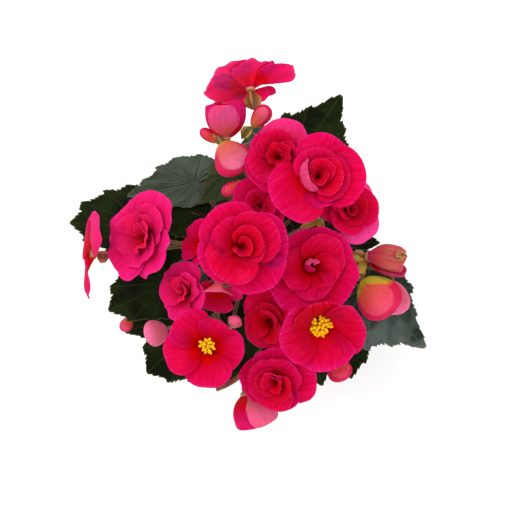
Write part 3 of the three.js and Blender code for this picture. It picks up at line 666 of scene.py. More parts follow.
# Half-double blooms. The same soft petals in a broad outer ring, round a loose tuft of
# upright, ruffled inner ones.
SEMI_RINGS = [
    (4, 1.02, 1.12, 40, 0, 3.2, 1.8, 2.2, 76),
    (2, 0.74, 0.72, 76, 44, 2.4, 2.9, 1.6, 112),
    (3, 0.64, 0.56, 82, 52, 1.9, 3.2, 1.2, 100),
    (3, 0.46, 0.40, 86, 64, 1.3, 3.5, 0.8, 100),
]
for *bloom, habit in [
    ("bloom_inner_north", (8, 28, 220), 100, 12, 18, 30, 15, [
        [(120, 1.05, 1.25), (200, 1, 1.2), (290, 1, 1.2), (30, 1, 1.2)],
        [(150, 1.2, 1.2), (330, 1.2, 1.2)],
    ], {}),
    ("bloom_southeast", (40, -11, 230), -20, 8, 28, 55, 16, [
        [(100, 0.82, 1.2), (42, 0.98, 1.15), (-35, 1.08, 1.25, -3), (225, 1.1, 1.25, -3)],
        [(48, 1.25, 1.3, -22, -14), (-85, 1.1, 1.1, -20, -10), (185, 1.15, 1.1, -20, -10)],
        [(100, 0.84, 0.42, -48, 138, 0.6), (-25, 1.2, 1.5, -24, -10)],
        [(250, 1.1, 1.6, -36, 110)],
    ], {"ruffled": 1.8, "pleated": 0.5}),
    # the two west blooms take the lighter front and a small pink share: painted light and sheen
    ("bloom_west_inner", (-40, -26, 219), 178, 36, 17, 0, 20, [
        [(95, 1.02, 1.2), (165, 1.05, 1.2), (240, 1.1, 1.2), (330, 0.95, 1.1)],
        [(20, 1.3, 1.2, -16, -10), (190, 1.3, 1.2, -20, -14)],
        [(95, 1.2, 1.3, -10), (-30, 1.3, 1.3)],
        [(160, 1.1, 1.1)],
    ], {"ruffled": 2, "pleated": 0.5, "pink": 0.08, "front": lit_front}),
    ("bloom_west", (-67, 9, 222), 165, 39, 27, 60, 25, [
        [(62, 1.08, 1.15), (-50, 1, 1.2), (228, 1.12, 1.25), (150, 1, 1.25)],
        [(40, 1.2, 1.3, -22, -14), (165, 1.1, 1.3, -22, -14), (275, 1.2, 1.3, -22, -14)],
        [(95, 1.1, 1.3, -18), (-20, 1.3, 1.4, -14)],
        [(80, 1.1, 1.2, -10)],
    ], {"ruffled": 3, "pleated": 0.7, "pink": 0.08, "front": lit_front}),
]:
    build_bloom(SEMI_RINGS, 0.24, *bloom, **habit)

# Single blooms. One ring of broad, rounded petals, flat or cupped, open round a mop of
# yellow stamens.
FLAT_RING = [(5, 1.0, 0.88, 32, 2, 3.2, 1.8, 2.2, 62)]
CUP_RING = [(4, 1.3, 1.25, 60, 22, 3.2, 1.8, 2.4, 74)]
# the front of its petals and how rounded they are, its ring and depth, and the rest as above
for front, rounded, *bloom in [
    (open_front, 0.6, FLAT_RING, 0.2, "bloom_southwest_open", (-26.5, -62, 232), 90, 6, 22, 50, 19, [
        [(62, 0.76, 1.5, 3), (138, 1.1, 1.3), (198, 1.2, 1.15), (277, 1.12, 1.3), (-12, 0.98, 1.2, -3)],
    ]),
    (cup_front, 0.35, CUP_RING, 0.4, "bloom_south_cup", (47, -49.5, 232), -80, 26, 25, 18, 17, [
        [
            # negative pale shares: painted shade inside the cup, deepest on the top petal
            (15, 0.98, 1.25, 0, 0, -0.4), (98, 0.86, 1.5, 4, 0, -0.9),
            (188, 1, 1.3, 0, 0, -0.3), (280, 0.98, 1.4, -3),
        ],
    ]),
]:
    build_bloom(*bloom, front=front, grid=(36, 28), rounded=rounded)

# Nodding and turned-away blooms. Young or female ones that hang by their stalks, so that
# their sides and backs show, the outermost petal paler than the crimson ones it covers.
HALF_RINGS = [
    (1, 1.34, 1.25, 20, 96, 4.0, 1.6, 0.3, 56),
    (2, 1.5, 1.5, 24, 108, 3.0, 1.9, 0.6, 88),
    (1, 1.8, 1.3, 40, 84, 2.4, 3.4, 0.8, 60),
]
YOUNG_RING = [(4, 1.18, 1.1, 58, 6, 3.2, 1.8, 1.5, 76)]
OPEN_RING = [(4, 1.02, 1.05, 38, -14, 3.2, 1.8, 1.6, 72)]
# the back of its petals and how ruffled they are, its rings and depth, and the rest as above
for back, ruffled, rings, *bloom in [
    (coral_back, 1, YOUNG_RING, 0.34, "bloom_under_crown", (-21, -25, 214), 262, 58, 14, 45, 21, [
        [(85, 1.2, 1.6, 4, 30, 1), (168, 0.8, 1.1), (265, 1.3, 1.3, -8), (355, 1, 1, -8)],
    ]),
    (pale_back, 3.5, YOUNG_RING, 0.34, "bloom_west_small", (-29, 4.5, 224), 165, 46, 13, 20, 22, []),
    (pale_back, 1, HALF_RINGS, 0.7, "bloom_south_nodding", (0.5, -108.5, 187), 286, 98, 19, 40, 24, [
        [(60, 1.04, 2.6, 0, 0, 1)], [(134, 0.87, 2.1, 4), (10, 0.9, 1)], [(290, 0.66, 1)],
    ]),
    (pale_back, 0.8, OPEN_RING, 0.14, "bloom_far_west", (-105, -3, 206), 180, 78, 27, 45, 26, [
        [(55, 1, 1.2, -16, 0, 0.2), (128, 0.92, 1.2, -6), (225, 1, 1.2, -6), (300, 1.02, 1.2, -4)],
    ]),
    (pink_back, 2.5, OPEN_RING, 0.14, "bloom_far_north", (1, 109, 208), 98, 114, 28, 45, 27, [
        [
            # the paler shares on these backs are painted highlights
            (172, 0.98, 0.9, -4, 0, 0.15), (232, 0.88, 1.1, 4, 0, 0.2), (294, 0.86, 0.9, 6, 0, 0.1),
            (354, 1.06, 0.75, 2), (85, 0.8, 0.8),
        ],
    ]),
    (pale_back, 1, HALF_RINGS, 0.7, "bloom_north_nodding", (-15, 84.5, 210), 92, 98, 17, 20, 28, [
        [(268, 0.98, 1.15, 0, 0, 0.5)], [(335, 1.02, 1.2), (200, 1.02, 1)], [(92, 1, 1)],
    ]),
]:
    rounded = 2 if rings is HALF_RINGS else 1
    build_bloom(rings, *bloom, back=back, grid=(34, 26), ruffled=ruffled, rounded=rounded)

# Faded bloom. A spent flower shut into a barrel, its petals dry, finely pleated along their
# length, pink turning tan, with a brown shrivelled tip.
faded_skin = petal_paint(
    "petal_faded", (0.30, 0.02, 0.03), (0.46, 0.035, 0.08), (0.50, 0.04, 0.13), (0.50, 0.02, 0.14),
    ((0.55, 0.02, 0.10), (0.46, 0.11, 0.06)), 0.45,
)
BARREL_RING = [(3, 1.75, 1.25, 45, 115, 3.2, 1.8, 1.4, 88)]
faded = build_bloom(BARREL_RING, 0.9, "bloom_faded", (91, -6, 204), -10, 84, 15, 30, 29, [
    [(165, 1, 1, 0, 0, 0.7), (285, 1.1, 1), (45, 1, 1)],
], front=faded_skin, back=faded_skin, grid=(60, 30), ruffled=1.5, pleated=0.25)
SHRIVEL_RING = [(5, 1.3, 0.9, 20, 170, 0.8, 0, 0.3, 60)]
tip_blank = grid_blank(14, 14)
shrivels = [shape_petal(tip_blank, petal) for petal in petals_of(SHRIVEL_RING, 5, 10, 31, [
    [(0, 1, 1), (75, 1.4, 0.6), (140, 0.8, 1), (215, 1.3, 0.7), (290, 1, 0.8)],
], ruffled=8, pleated=0.4)]
bpy.data.objects.remove(tip_blank)
shrivelled = join_pieces(shrivels, "petals_faded_tip")
finish_by_modifier(shrivelled, "SOLIDIFY", thickness=PETAL, offset=0)
set_down(shrivelled, (96.8, -3.6, 215), facing(-6, 70))
smooth_faces(shrivelled, 55)
shrivelled.data.materials.append(grainy_paint("petal_dry_brown", 0.8, 0.1, 500, 4, [
    (0.3, (0.14, 0.045, 0.015)), (0.6, (0.40, 0.20, 0.08)), (0.8, (0.50, 0.13, 0.08)),
], 0.6, 0.3))
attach(shrivelled, "root")
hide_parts("bloom_faded")

# Stamens. A mop of short yellow clubs on thin threads, standing on a low cushion in the
# middle of each single bloom.
yellow_pollen = grainy_paint("yellow_pollen", 0.7, 0.2, 900, 3, [
    (0.3, (0.62, 0.26, 0)), (0.6, (0.92, 0.50, 0)), (0.85, (1.0, 0.68, 0.03)),
], 0.6, 0.15)
CUSHION = 5.6  # height of the threads' feet above the foot of the bloom
for name, foot_name, seed, clubs, spread, size in [
    ("stamens_south_cup", "bloom_south_cup", 17, 40, 76, 1.25),
    ("stamens_southwest_open", "bloom_southwest_open", 19, 24, 58, 1.0),
]:
    _, foot, axis = next(row for row in stalk_feet if row[0] == foot_name)
    turn = Vector((0, 0, 1)).rotation_difference(axis)
    draw = dice(seed)
    clear_selection()
    bpy.ops.mesh.primitive_uv_sphere_add(segments=8, ring_count=6, radius=0.95)
    club = bpy.context.object
    for corner in club.data.vertices:
        corner.co.z *= 1.7
    threads = []
    for i in range(clubs):
        one = copy_piece(club, "club")
        slant = math.radians(spread * math.sqrt((i + 0.5) / clubs))
        length = size * (4.6 + 1.6 * next(draw))
        lean = Matrix.Rotation(i * 2.4 + 0.5 * next(draw), 4, "Z") @ Matrix.Rotation(slant, 4, "Y")
        lean = Matrix.Translation((0, 0, CUSHION)) @ lean
        one.data.transform(lean @ Matrix.Translation((0, 0, length)) @ Matrix.Scale(size, 4))
        threads.append(one)
        bpy.ops.mesh.primitive_cylinder_add(vertices=6, radius=0.32, depth=length)
        thread = bpy.context.object
        thread.data.transform(lean @ Matrix.Translation((0, 0, length / 2)))
        threads.append(thread)
    bpy.data.objects.remove(club)
    mop = join_pieces(threads, name + "_mop")
    set_down(mop, foot, turn)
    smooth_faces(mop, 60)
    mop.data.materials.append(yellow_pollen)
    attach(mop, "root")
    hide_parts(name)

# Buds. Two broad scales shut face to face like a clam, pale pink or coral on their backs,
# crimson at the lip where they meet, each on its own short stalk.
def step_up(x, low, high):
    return float(ease(x, low, high))


def bud_paint():
    paint, shader = new_paint("bud_pink", 0.5, 0.2)
    shader.inputs["Subsurface Weight"].default_value = 0.12
    shader.inputs["Subsurface Scale"].default_value = 0.002
    shader.inputs["Subsurface Radius"].default_value = (1.0, 0.2, 0.2)
    along, hood = read_label(paint, "along"), read_label(paint, "hood")
    young = ramp_node(paint, along, [
        (0, (0.35, 0.22, 0.02)), (0.14, (0.55, 0.08, 0.05)),
        (0.5, (0.50, 0.078, 0.12)), (1, (0.74, 0.13, 0.30)),
    ])
    ripe = ramp_node(paint, along, [
        (0, (0.30, 0.22, 0.01)), (0.25, (0.58, 0.08, 0.02)),
        (0.6, (0.62, 0.02, 0.03)), (1, (0.58, 0.02, 0.08)),
    ])
    tint = layer_over(paint, young, ripe, "MIX", read_label(paint, "rosy"))
    streak = object_grain(paint, 420, 3, (1, 1, 0.3))
    streaked = ramp_node(paint, streak, [(0.3, (0.82, 0.8, 0.8)), (0.7, 1)])
    tint = layer_over(paint, tint, streaked)
    crimson = ramp_node(paint, object_grain(paint, 90, 3), [(0.3, (0.42, 0, 0.03)), (0.7, (0.52, 0, 0.07))])
    tint = layer_over(paint, tint, crimson, "MIX", read_label(paint, "lip"))
    # the wings of the seed vessel lie over the foot of the biggest bud
    wings = ramp_node(paint, hood, [
        (0.08, (0.50, 0.03, 0.02)), (0.35, (0.54, 0.20, 0.02)), (0.7, (0.42, 0.34, 0.02)),
    ])
    wings = layer_over(paint, wings, streaked)
    tint = layer_over(paint, tint, wings, "MIX", ramp_node(paint, hood, [(0, 0), (0.07, 1)]))
    give_colour(paint, shader, tint)
    raise_bump(paint, shader, streak, 0.3, 0.2)
    return paint


bud_skin = bud_paint()
# Each bud: its name, the place of its middle, the bearing and angle that it leans at, its
# length, width and thickness, how far its scales have slipped, how ripe it is, how much
# lip it shows, and whether wings lie over it.
for name, at, towards, tilt, length, width, thick, slip, ripe, lipped, *winged in [
    ("bud_north", (-11, 60.5, 222), -58, 78, 25, 22, 11, 0.10, 0.1, 1),
    ("bud_north_small", (-10, 41, 216), 210, 76, 17, 8, 6, 0.1, 0.9, 1),
    ("bud_northwest_tiny", (-26, 76, 206), 145, 74, 15, 7, 5, 0.1, 0.9, 1),
    ("bud_north_tiny", (8, 88, 214), 48, 72, 18, 11, 7, 0.1, 0.5, 1),
    ("bud_east", (85.5, -30.5, 208), -50, 74, 31, 27, 12, -0.10, 0.75, 1, 1),
    ("bud_east_low", (99, -32, 188), 276, 84, 23, 18, 10, 0.0, 0.0, 0),
    ("bud_southeast", (60, -79, 202), -62, 70, 18, 15, 9, 0.1, 0.9, 1),
    ("bud_southwest", (-62, -55, 196), 200, 66, 17, 16, 10, 0.0, 0.0, 0),
    ("bud_southwest_tiny", (-87, -51.5, 140.4), 240, 72, 13, 8, 6, 0.1, 0.7, 0.5),
    ("bud_inner_south", (-9, -47, 224), 60, 30, 13, 9, 7, 0.1, 0.3, 0.4),
]:
    turn = facing(towards, tilt, towards)
    axis = turn @ Vector((0, 0, 1))
    foot = Vector(at) - axis * length / 2
    clear_selection()
    bpy.ops.mesh.primitive_uv_sphere_add(segments=96, ring_count=64, radius=1)
    pod = bpy.context.object
    rim, up_bud, hooding = [], [], []
    for corner in pod.data.vertices:
        x, y, z = corner.co
        # each scale is an oval face, set a little to one side and raised above the broad rim
        across = (y - slip * (1 if x < 0 else -1)) / 0.86
        up = (z + 0.08) / 0.92
        outside = step_up(math.hypot(across, up), 0.93, 1.0) * step_up(z, -0.75, -0.35) * lipped
        seam = math.exp(-((x / 0.10) ** 2))
        waist = 1 + 0.25 * z
        brink = float(np.interp(y, [-0.9, -0.5, -0.14, 0.5, 0.76], [-0.3, -0.45, -0.57, -0.17, 0.02]))
        under = min(1, max(0, (brink - z) / 0.4)) if winged else 0
        outside *= 1 - step_up(under, 0, 0.1)
        lift = 0.9 * step_up(under, 0, 0.12) * (1 - 0.7 * math.exp(-(((y + 0.12) / 0.06) ** 2)))
        face = (thick * waist / 2 - 0.7 * outside) * (1 - 0.25 * outside)
        corner.co = (
            x * face + math.copysign(lift, x) * min(1, 4 * abs(x)),
            y * (1 + 0.10 * seam) * width * waist / 2,
            (z + 1) * length / 2,
        )
        rim.append(outside)
        up_bud.append(max((z + 1) / 2, 0 if lipped else 0.6))
        hooding.append(under)
    set_labels(pod.data, lip=rim, along=up_bud, rosy=ripe, hood=hooding)
    pod.name = name + "_scales"
    set_down(pod, foot, turn)
    smooth_faces(pod, 60)
    pod.data.materials.append(bud_skin)
    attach(pod, "root")
    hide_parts(name)
    stalk_feet.append((name, foot, axis))

# Leaves. Lopsided hearts with a drawn-out tip and a finely toothed edge, dark and waxy above,
# red-brown below, quilted between the veins that fan out from the end of each stalk.
LEAF = 0.6  # thickness
LEAF_NOTCH = 12
LEAF_STEPS = 22  # round the margin, a main vein running to each odd one
TEETH = 23  # along each half of the margin
SIDE_VEINS = 7.5
VEIN_SLANT = 1.1


def leaf_margin(step):
    lobe = 0.07 * (0.5 + 0.5 * np.cos(math.pi * step))
    from_notch = np.minimum(step, LEAF_STEPS - step) / (LEAF_STEPS / 2)
    tooth = (from_notch * TEETH + 0.35 * np.sin(3.1 * step)) % 1
    deep = (0.05 + 0.02 * np.sin(5.3 * step)) * ease(from_notch, 0.0, 0.08)
    return lobe + deep * (1 - tooth) ** 0.8 * (1 - ease(from_notch, 0.97, 1.0))


def leaf_points(leaf, t, share):
    step = (t + 1) * LEAF_STEPS / 2
    angle = (math.pi - math.radians(LEAF_NOTCH)) * (0.7 * t + 0.3 * t**3)
    tip = 0.3 * np.exp(-((angle / math.radians(leaf["tip"])) ** 2))
    reach = (0.6 + 0.1 * np.cos(angle) + tip) * (1 + leaf["skew"] * np.sin(angle))
    run = share * reach * (1 - leaf_margin(step) * ease(share, 0.75, 1.0))
    x = run * leaf["length"] * np.cos(angle)
    y = run * leaf["length"] * leaf["broad"] * np.sin(angle)
    hang = 0.14 * run**2 - 0.05 * run**2 * np.sin(3 * angle + leaf["shift"])
    from_vein = np.abs(step % 2 - 1)
    quilt = 0.35 * np.sin(math.pi * 0.5 * from_vein) ** 0.8 * ease(share, 0.02, 0.35)
    buckle = np.sin(2.3 * step + leaf["shift"]) * np.sin(5 * share + leaf["shift"])
    ridge = ease(from_vein, 0.05, 0.4) * np.sin(math.tau * (SIDE_VEINS * share - VEIN_SLANT * from_vein))
    quilt = quilt + 0.5 * ease(share, 0.2, 0.9) * buckle + 0.16 * ease(share, 0.1, 0.4) * ridge
    z = 0.12 * np.sqrt(y * y + 0.6) - hang * leaf["length"] + quilt - 0.5
    return np.stack([x, y, z], -1)


def leaf_paint(name, dark, light, vein, rough, gloss, rim, sheen=0):
    paint, shader = new_paint(name, rough, gloss)
    place = add_node(paint, "ShaderNodeUVMap", uv_map="UVMap").outputs["UV"]
    split = add_node(paint, "ShaderNodeSeparateXYZ", [("Vector", place)])
    about, outwards = split.outputs["X"], split.outputs["Y"]
    where = add_node(paint, "ShaderNodeTexCoord").outputs["Object"]
    cells = add_node(paint, "ShaderNodeTexVoronoi", [("Vector", where)], Scale=420.0).outputs["Distance"]
    cloud = object_grain(paint, 60 if sheen else 55, 5)
    if sheen:
        # painted sheen: the side that hangs towards -Y lies in the light and is painted lighter
        south = add_node(paint, "ShaderNodeSeparateXYZ", [("Vector", where)]).outputs["Y"]
        cloud = math_node(paint, "MULTIPLY_ADD", south, -sheen, cloud)
        cloud = math_node(paint, "SUBTRACT", cloud, 0.053 * sheen)
    tint = ramp_node(paint, cloud, [(0.38, dark), (0.62, light)])
    # main veins: the distance from the nearest odd step, narrowing outwards
    step = math_node(paint, "MODULO", math_node(paint, "MULTIPLY", about, LEAF_STEPS), 2)
    away = math_node(paint, "ABSOLUTE", math_node(paint, "SUBTRACT", step, 1))
    main = ramp_node(paint, math_node(paint, "MULTIPLY", away, outwards), [(0, 1), (0.045, 0.5), (0.09, 0)])
    # side veins slant outwards from the main ones
    rungs = math_node(paint, "MULTIPLY", outwards, SIDE_VEINS)
    side = math_node(paint, "SUBTRACT", rungs, math_node(paint, "MULTIPLY", away, VEIN_SLANT))
    near = math_node(paint, "ABSOLUTE", math_node(paint, "WRAP", side, 0.5, -0.5))
    veins = math_node(paint, "MAXIMUM", main, ramp_node(paint, near, [(0, 0.55), (0.07, 0)]))
    tint = layer_over(paint, tint, vein, "MIX", math_node(paint, "MULTIPLY", veins, 0.6))
    edge = ramp_node(paint, outwards, [(0.965, 0), (1, 0.8)])
    give_colour(paint, shader, layer_over(paint, tint, rim, "MIX", edge))
    vary_roughness(paint, shader, cloud, rough - 0.08, rough + 0.1)
    raise_bump(paint, shader, math_node(paint, "SUBTRACT", cells, veins), 0.35, 0.4)
    return paint


leaf_dark = leaf_paint(
    "leaf_dark_green", (0.003, 0.005, 0.001), (0.009, 0.015, 0.003), (0.024, 0.032, 0.009),
    0.6, 0.03, (0.08, 0.09, 0.022),
)
leaf_green = leaf_paint(
    "leaf_mid_green", (0.016, 0.026, 0.008), (0.035, 0.05, 0.014), (0.07, 0.085, 0.03),
    0.5, 0.1, (0.09, 0.08, 0.03),
)
# the grey and cloudy leaves: greyer, lighter tints that are partly their own and partly painted sheen from
# the bright surround
leaf_grey = leaf_paint(
    "leaf_grey_sheen", (0.018, 0.03, 0.015), (0.04, 0.058, 0.034), (0.05, 0.075, 0.04),
    0.42, 0.2, (0.11, 0.10, 0.05),
)
leaf_cloudy = leaf_paint(
    "leaf_cloudy_sheen", (0.008, 0.014, 0.007), (0.075, 0.098, 0.084), (0.05, 0.07, 0.055),
    0.45, 0.12, (0.11, 0.10, 0.05), 9,
)
leaf_below = leaf_paint(
    "leaf_underside", (0.05, 0.020, 0.010), (0.09, 0.034, 0.018), (0.16, 0.07, 0.03),
    0.6, 0.12, (0.12, 0.06, 0.02),
)

leaf_blank = grid_blank(300, 11)
# Each leaf: its name, where its stalk ends, the bearing it points to, how far it hangs, its
# length, its breadth as a share of that, how drawn out its tip is, and its upper side.
for i, (name, at, towards, hang, length, broad, tip, paint) in enumerate([
    ("leaf_northeast", (31, 60, 170), 56, 8, 62, 0.95, 14, leaf_dark),
    ("leaf_north", (4, 56, 150), 86, 4, 36, 0.8, 18, leaf_grey),
    ("leaf_northwest", (-37, 47, 168), 190, 4, 50, 0.62, 18, leaf_grey),
    ("leaf_north_small", (-11, 55, 180), 224, 10, 32, 0.85, 18, leaf_green),
    ("leaf_far_west", (-74, 18, 148), 178, 2, 54, 0.82, 34, leaf_dark),
    ("leaf_west", (-41, 27, 162), 168, 2, 34, 0.85, 18, leaf_dark),
    ("leaf_west_low", (-58, -22, 156), 206, 12, 50, 0.95, 26, leaf_dark),
    ("leaf_west_young", (-41, -19, 182), 212, 32, 28, 1, 22, leaf_grey),
    ("leaf_southwest", (-56, -44, 142), 204, 10, 38, 0.84, 20, leaf_dark),
    ("leaf_southwest_low", (-45, -60, 131), 224, 6, 42, 1.3, 24, leaf_dark),
    ("leaf_south_west", (-13, -56, 150), 260, 12, 45, 1.0, 20, leaf_dark),
    ("leaf_south", (27, -66, 137), 278, 6, 46, 0.95, 18, leaf_dark),
    ("leaf_south_small", (38, -52, 156), 288, 14, 50, 0.8, 26, leaf_dark),
    ("leaf_southeast", (65, -44, 146), 279, 4, 48, 0.95, 20, leaf_dark),
    ("leaf_far_east", (78, -26, 168), 318, 8, 64, 0.9, 14, leaf_cloudy),
    ("leaf_east", (50, 6, 158), 0, 8, 44, 0.75, 18, leaf_dark),
    ("leaf_east_low", (42, 31, 148), 24, 10, 34, 0.9, 18, leaf_dark),
]):
    skew = 0.12 if i % 2 else -0.12
    leaf = {"length": length, "broad": broad, "tip": tip, "skew": skew, "shift": 2 * i}
    blade = copy_piece(leaf_blank, name + "_blade")
    mesh = blade.data
    flat = blank_places(mesh)
    # rings crowd towards the margin, where the teeth are
    share = 1 - (1 - (flat[:, 1] + 1) / 2) ** 1.5
    for corner, loop in zip(mesh.uv_layers["UVMap"].data, mesh.loops):
        corner.uv = ((1 - flat[loop.vertex_index, 0]) / 2, share[loop.vertex_index])
    set_points(mesh, leaf_points(leaf, -flat[:, 0], np.maximum(share, 0.004)))
    mesh.materials.append(paint)
    mesh.materials.append(leaf_below)
    finish_by_modifier(blade, "SOLIDIFY", thickness=LEAF, offset=0, material_offset=1)
    turn = Quaternion((0, 0, 1), math.radians(towards)) @ Quaternion((0, 1, 0), math.radians(hang))
    set_down(blade, at, turn)
    smooth_faces(blade, 55)
    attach(blade, "root")
    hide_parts(name)
    stalk_feet.append((name, Vector(at), turn @ Vector((0, 0, 1))))
bpy.data.objects.remove(leaf_blank)

# Crown, shoots and stalks. Juicy, faintly ribbed stems, olive green flushed with red-brown,
# that fork upwards from a woody crown. Each ends at the foot of its leaf, bloom or bud.
# Each fork: its name, place, the fork it grows from, and its thickness.
FORKS = [
    ("crown", (0, 0, 102), None, 0),
    ("north", (2, 24, 160), "crown", 3.3),
    ("east", (24, 8, 160), "crown", 3.3),
    ("southeast", (16, -22, 158), "crown", 3.3),
    ("southwest", (-16, -22, 158), "crown", 3.3),
    ("west", (-22, 8, 160), "crown", 3.3),
    ("north_mid", (8, 38, 186), "north", 2.2),
    ("north_spray", (13, 75, 194), "north_mid", 1.8),
    ("east_mid", (42, 18, 206), "east", 2),
    ("east_spray", (72, -10, 192), "east", 1.8),
    ("southeast_mid", (36, -34, 194), "southeast", 2.2),
    ("south_spray", (20, -64, 188), "southeast", 1.8),
    ("southwest_mid", (-22, -44, 192), "southwest", 2.2),
    ("west_mid", (-38, 4, 190), "west", 2),
]
CARRIED = {
    "north": ["bloom_inner_north"],
    "southeast": ["bloom_inner_south"],
    "southwest": ["bloom_under_crown", "bud_southwest_tiny"],
    "west": ["bloom_crown", "bloom_west_small"],
    "north_mid": ["bloom_north", "bud_north", "bud_north_small"],
    "north_spray": ["bloom_far_north", "bloom_north_nodding", "bud_northwest_tiny", "bud_north_tiny"],
    "east_mid": ["bloom_northeast", "bloom_east"],
    "east_spray": ["bloom_faded", "bud_east", "bud_east_low"],
    "southeast_mid": ["bloom_southeast", "bloom_south_cup", "bud_southeast"],
    "south_spray": ["bloom_south", "bloom_south_nodding"],
    "southwest_mid": ["bloom_southwest_open", "bud_southwest", "bud_inner_south"],
    "west_mid": ["bloom_west", "bloom_far_west", "bloom_west_inner"],
}
CROWN_FOOT = 8.9
CROWN_TOP = 6.2
CROWN_HEIGHT = 34
CROWN_MIDDLE = 89
UP = Vector((0, 0, 1))
limb_curve = bpy.data.curves.new("limbs", "CURVE")
limb_curve.dimensions = "3D"
limb_curve.bevel_depth = MM
limb_curve.bevel_resolution = 3
limb_curve.resolution_u = 16
limb_curve.use_fill_caps = True


def grow_limb(root, leaving, end, arriving, thick_root, thick_end):
    handle = (end - root).length * 0.38
    spline = limb_curve.splines.new("BEZIER")
    spline.bezier_points.add(1)
    for point, place, way, thick in (
        (spline.bezier_points[0], root, leaving, thick_root),
        (spline.bezier_points[1], end, arriving, thick_end),
    ):
        point.handle_left_type = point.handle_right_type = "FREE"
        point.co = place * MM
        point.handle_left = (place - way * handle) * MM
        point.handle_right = (place + way * handle) * MM
        point.radius = thick


places = {}
for name, at, parent, thick in FORKS:
    places[name] = Vector(at)
    if not parent:
        continue
    outward = Vector((at[0], at[1], 0)).normalized()
    root = places[parent] + (outward * 3 if parent == "crown" else Vector((0, 0, 0)))
    leaving = (outward * 0.45 + UP).normalized()
    arriving = (places[name] - root).normalized().lerp(UP, 0.3).normalized()
    grow_limb(root - leaving * 2, leaving, places[name] + arriving, arriving, thick * 1.15, thick)
feet = {name: (foot, axis) for name, foot, axis in stalk_feet}
for fork, names in CARRIED.items():
    for name in names:
        foot, axis = feet[name]
        leaving = (foot - places[fork]).normalized().lerp(UP, 0.35).normalized()
        thick = 1.3 if name.startswith("bloom") else 1.0
        grow_limb(places[fork] - leaving, leaving, foot + axis * 0.3, axis, thick, thick * 1.1)
for i, (name, (foot, normal)) in enumerate((n, f) for n, f in feet.items() if n.startswith("leaf")):
    outward = Vector((foot.x, foot.y, 0)).normalized()
    leaving = (outward * 0.35 + UP).normalized()
    arriving = (outward * 0.8 + normal).normalized()
    root = outward * 4.5 + UP * (99 + 3 * (i % 3))
    grow_limb(root, leaving, foot - normal * 1.1, arriving, 1.7, 1.35)
# an old stalk, cut short, lies across low on the south side
grow_limb(Vector((2, -5, 100)), Vector((0.4, -0.75, 0.55)).normalized(), Vector((-23.4, -97, 152)),
          Vector((-0.95, -0.3, 0.02)).normalized(), 2.4, 1.9)
limbs = bpy.data.objects.new("limbs", limb_curve)
bpy.context.collection.objects.link(limbs)
clear_selection()
limbs.select_set(True)
bpy.context.view_layer.objects.active = limbs
bpy.ops.object.convert(target="MESH")
limbs = bpy.context.object
knots = [limbs]
for name, at, parent, thick in FORKS[1:]:
    bpy.ops.mesh.primitive_uv_sphere_add(
        segments=16, ring_count=10, radius=thick * 1.25 * MM, location=Vector(at) * MM
    )
    knots.append(bpy.context.object)
bpy.ops.mesh.primitive_cone_add(
    vertices=40, radius1=CROWN_FOOT * MM, radius2=CROWN_TOP * MM, depth=CROWN_HEIGHT * MM,
    location=(0, 0, CROWN_MIDDLE * MM),
)
knots.append(bpy.context.object)
for knot in knots[1:]:
    settle(knot)
limbs = join_pieces(knots, "shoots_and_stalks")
smooth_faces(limbs, 50)


def stem_paint():
    paint, shader = new_paint("stem_olive_red", 0.42, 0.4)
    ribs = object_grain(paint, 260, 3, (1, 1, 0.12))
    tint = ramp_node(paint, object_grain(paint, 26, 3), [
        (0.3, (0.13, 0.11, 0.02)), (0.5, (0.17, 0.09, 0.025)), (0.72, (0.18, 0.045, 0.02)),
    ])
    ribbed = ramp_node(paint, ribs, [(0.35, 0.75), (0.65, 1)])
    give_colour(paint, shader, layer_over(paint, tint, ribbed))
    raise_bump(paint, shader, ribs, 0.4, 0.3)
    return paint


limbs.data.materials.append(stem_paint())
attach(limbs, "root")
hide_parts("stems")

# Seed vessels. Behind each female bloom or bud the stalk swells into a capsule with three
# papery wings, yellow-green edged with red.
VESSEL_LENGTH = 9.5
WING_REACH = 5.5
WING_BEARINGS = (-90, 30, 150)
WING_SPREAD = 11  # degrees


def vessel_paint():
    paint, shader = new_paint("seed_vessel_green", 0.5, 0.35)
    wing = read_label(paint, "wing")
    tint = ramp_node(paint, wing, [
        (0, (0.10, 0.06, 0.01)), (0.55, (0.28, 0.23, 0.02)),
        (0.85, (0.44, 0.26, 0.03)), (1, (0.50, 0.05, 0.03)),
    ])
    flush = ramp_node(paint, object_grain(paint, 80, 2), [(0.48, 0), (0.66, 0.8)])
    rust = ramp_node(paint, wing, [(0, (0.16, 0.02, 0.01)), (1, (0.46, 0.07, 0.03))])
    tint = layer_over(paint, tint, rust, "MIX", flush)
    give_colour(paint, shader, layer_over(paint, tint, rust, "MIX", read_label(paint, "rusty")))
    raise_bump(paint, shader, object_grain(paint, 500, 3, (1, 1, 0.3)), 0.4, 0.25)
    return paint


